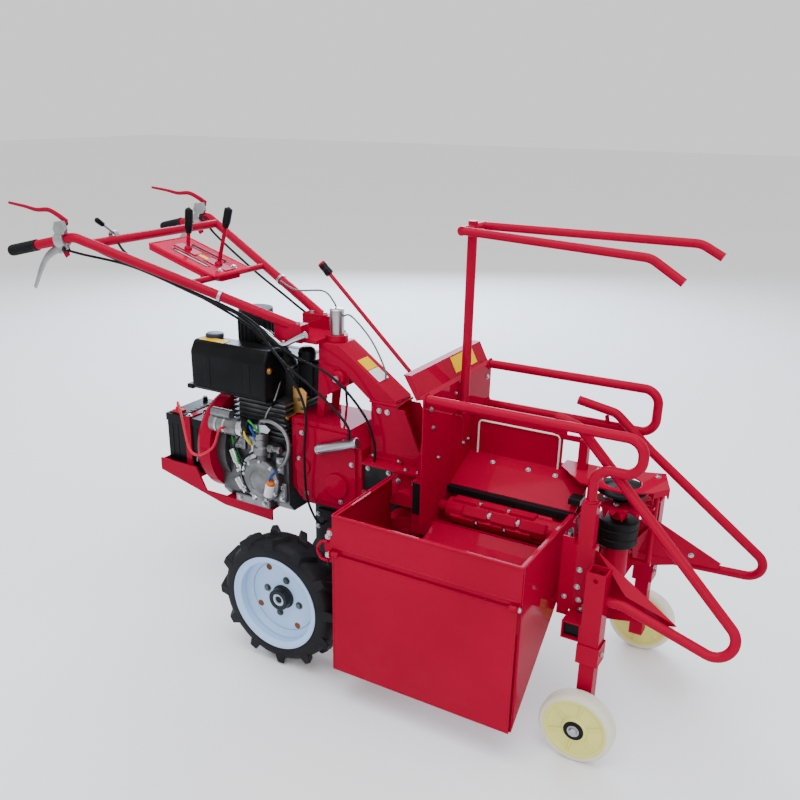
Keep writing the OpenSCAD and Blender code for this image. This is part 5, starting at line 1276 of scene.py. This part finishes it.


# feed wheel drum and cap (widened as a painted-shade disc under the cover's hole), roll bearing flanges,
# painted-shade plates in the beams' open ends, clutch knob, lock cap, muffler bands
drum = dict(centre=(873, 46, 470.5),
            profile=[(48, 0), (54.5, 1), (57, 4), (57, 24), (55, 26), (55, 30), (57, 32), (57, 52),
                     (55, 54), (55, 58), (57, 60), (57, 74), (54.5, 77), (48, 78)])
# the drum's black rubber cap, reaching past the drum as a dark disc under the cover's hole: partly the real
# cap, partly painted shade in the hole
feedCapShadeDisc = [(20, 0), (24, 14), (46, 20), (70, 33), (71, 36), (70, 39), (50, 41), (46, 43), (12, 45), (0, 45)]
coverLip = dict(centre=(873, 46, 650), radius=53, bead=(3.2, 2.6))
flange = [(13, 0), (28, 0), (28, 5), (21, 8), (16, 9), (13, 9)]
clutchKnob = dict(foot=(-46, 0, 1129.5), top=(-79, 0, 1159.6),
                  profile=[(8, 0), (12.5, 2), (13.2, 8), (12, 20), (12.8, 34), (11.5, 40), (6, 43.6),
                           (0, 44)])
lockCap = [(22, 0), (22.8, 1), (22.8, 4), (20, 7), (9, 9.5), (0, 10)]
mufflerBand = [(54.5, 0), (57.5, 0.8), (57.5, 11), (54.5, 12)]
smallSpots = dict(feedCapShadeDisc=(873, 46, 597), lockCap=(-23, 0, 1023), flangeX=781, flangeBoltX=786,
                  starBolts=[(911, 46, 598), (873, 84, 598), (835, 46, 598), (873, 8, 598)],
                  flangeBolts=((-17, 17), (17, -17)), endShadeXs=(848, 888), endShadeZs=(336, 376),
                  endShadeYs=(-266, 266),
                  endShadeHalf=1.5, bands=[(-392, 192, 770), (-196, 192, 770)])


def putSmallParts():
    put("edgeRubber", sweep(rounded(trim["route"], 14), ring(*trim["section"], 10), (0, 1, 0)), whiteRubber)
    put("weldRings", join(*[weldRing(*ringOf) for ringOf in welds["rings"]]), redPaint)
    shape = lathe(drum["centre"], (0, 0, 1), drum["profile"], 64)
    put("feedDrum", shape, blackRubber, "feed_wheel", True, 0.0, ("feed_drum",))
    # the cap with its dark disc of painted shade rides on the feed wheel
    put("feedCapShadeDisc", lathe(smallSpots["feedCapShadeDisc"], (0, 0, 1), feedCapShadeDisc, 40), blackRubber, "feed_wheel")
    a = np.linspace(0, 2 * np.pi, 72, endpoint=False)
    lip = np.array(coverLip["centre"]) + coverLip["radius"] * np.stack([np.cos(a), np.sin(a), 0 * a], 1)
    put("coverLip", bead(lip, ring(*coverLip["bead"], 8), (0, 0, 1)), redPaint)
    put("starBolts", bolts(smallSpots["starBolts"], (0, 0, 1), 7), zincPlate, "feed_wheel", False)
    ys, z = rolls["ys"].values(), rolls["height"]
    flanges = [lathe((smallSpots["flangeX"], y, z), (1, 0, 0), flange, 32, True) for y in ys]
    put("rollFlanges", join(*flanges), castAlloy)
    heads = [(smallSpots["flangeBoltX"], y + d, z + e) for y in ys for d, e in smallSpots["flangeBolts"]]
    put("flangeBolts", bolts(heads, (1, 0, 0), 6), zincPlate, "chassis", False)
    # black plates closing the beams' open ends: painted shade for the tubes' dark insides
    (x0, x1), (z0, z1), half = smallSpots["endShadeXs"], smallSpots["endShadeZs"], smallSpots["endShadeHalf"]
    endShades = [block((x0, y - half, z0), (x1, y + half, z1)) for y in smallSpots["endShadeYs"]]
    put("beamEndShades", join(*endShades), blackPlastic, "chassis", True, 1.2)
    foot, top = np.array(clutchKnob["foot"]), np.array(clutchKnob["top"])
    put("clutchKnob", lathe(foot, top - foot, clutchKnob["profile"], 28), blackPlastic)
    put("lockCap", lathe(smallSpots["lockCap"], (0, 0, 1), lockCap, 36), brightSteel)
    bands = [lathe(place, (1, 0, 0), mufflerBand, 48, True) for place in smallSpots["bands"]]
    put("mufflerBands", join(*bands), zincPlate)


putRolls()
putBin()
putBolts()
putLabels()
putArm()
putHood()
putGearSide()
putSkirt()
putWallRibs()
putSmallParts()
print("head, bin and bolts dressed")


# plain pale floor with a faint mottle
ground = dict(size=60.0, colour=(0.9, 0.9, 0.9))


def layFloor():
    p = Paint("paleFloor", Roughness=0.9)
    p.set(Base_Color=p.mix(p.noise(0.8, 2), ground["colour"], tuple(0.97 * c for c in ground["colour"])))
    half = ground["size"] / 2
    mesh = bpy.data.meshes.new("floor")
    mesh.from_pydata([(-half, -half, 0), (half, -half, 0), (half, half, 0), (-half, half, 0)], [],
                     [(0, 1, 2, 3)])
    mesh.materials.append(p.material)
    floor = bpy.data.objects.new("floor", mesh)
    bpy.context.scene.collection.objects.link(floor)


layFloor()
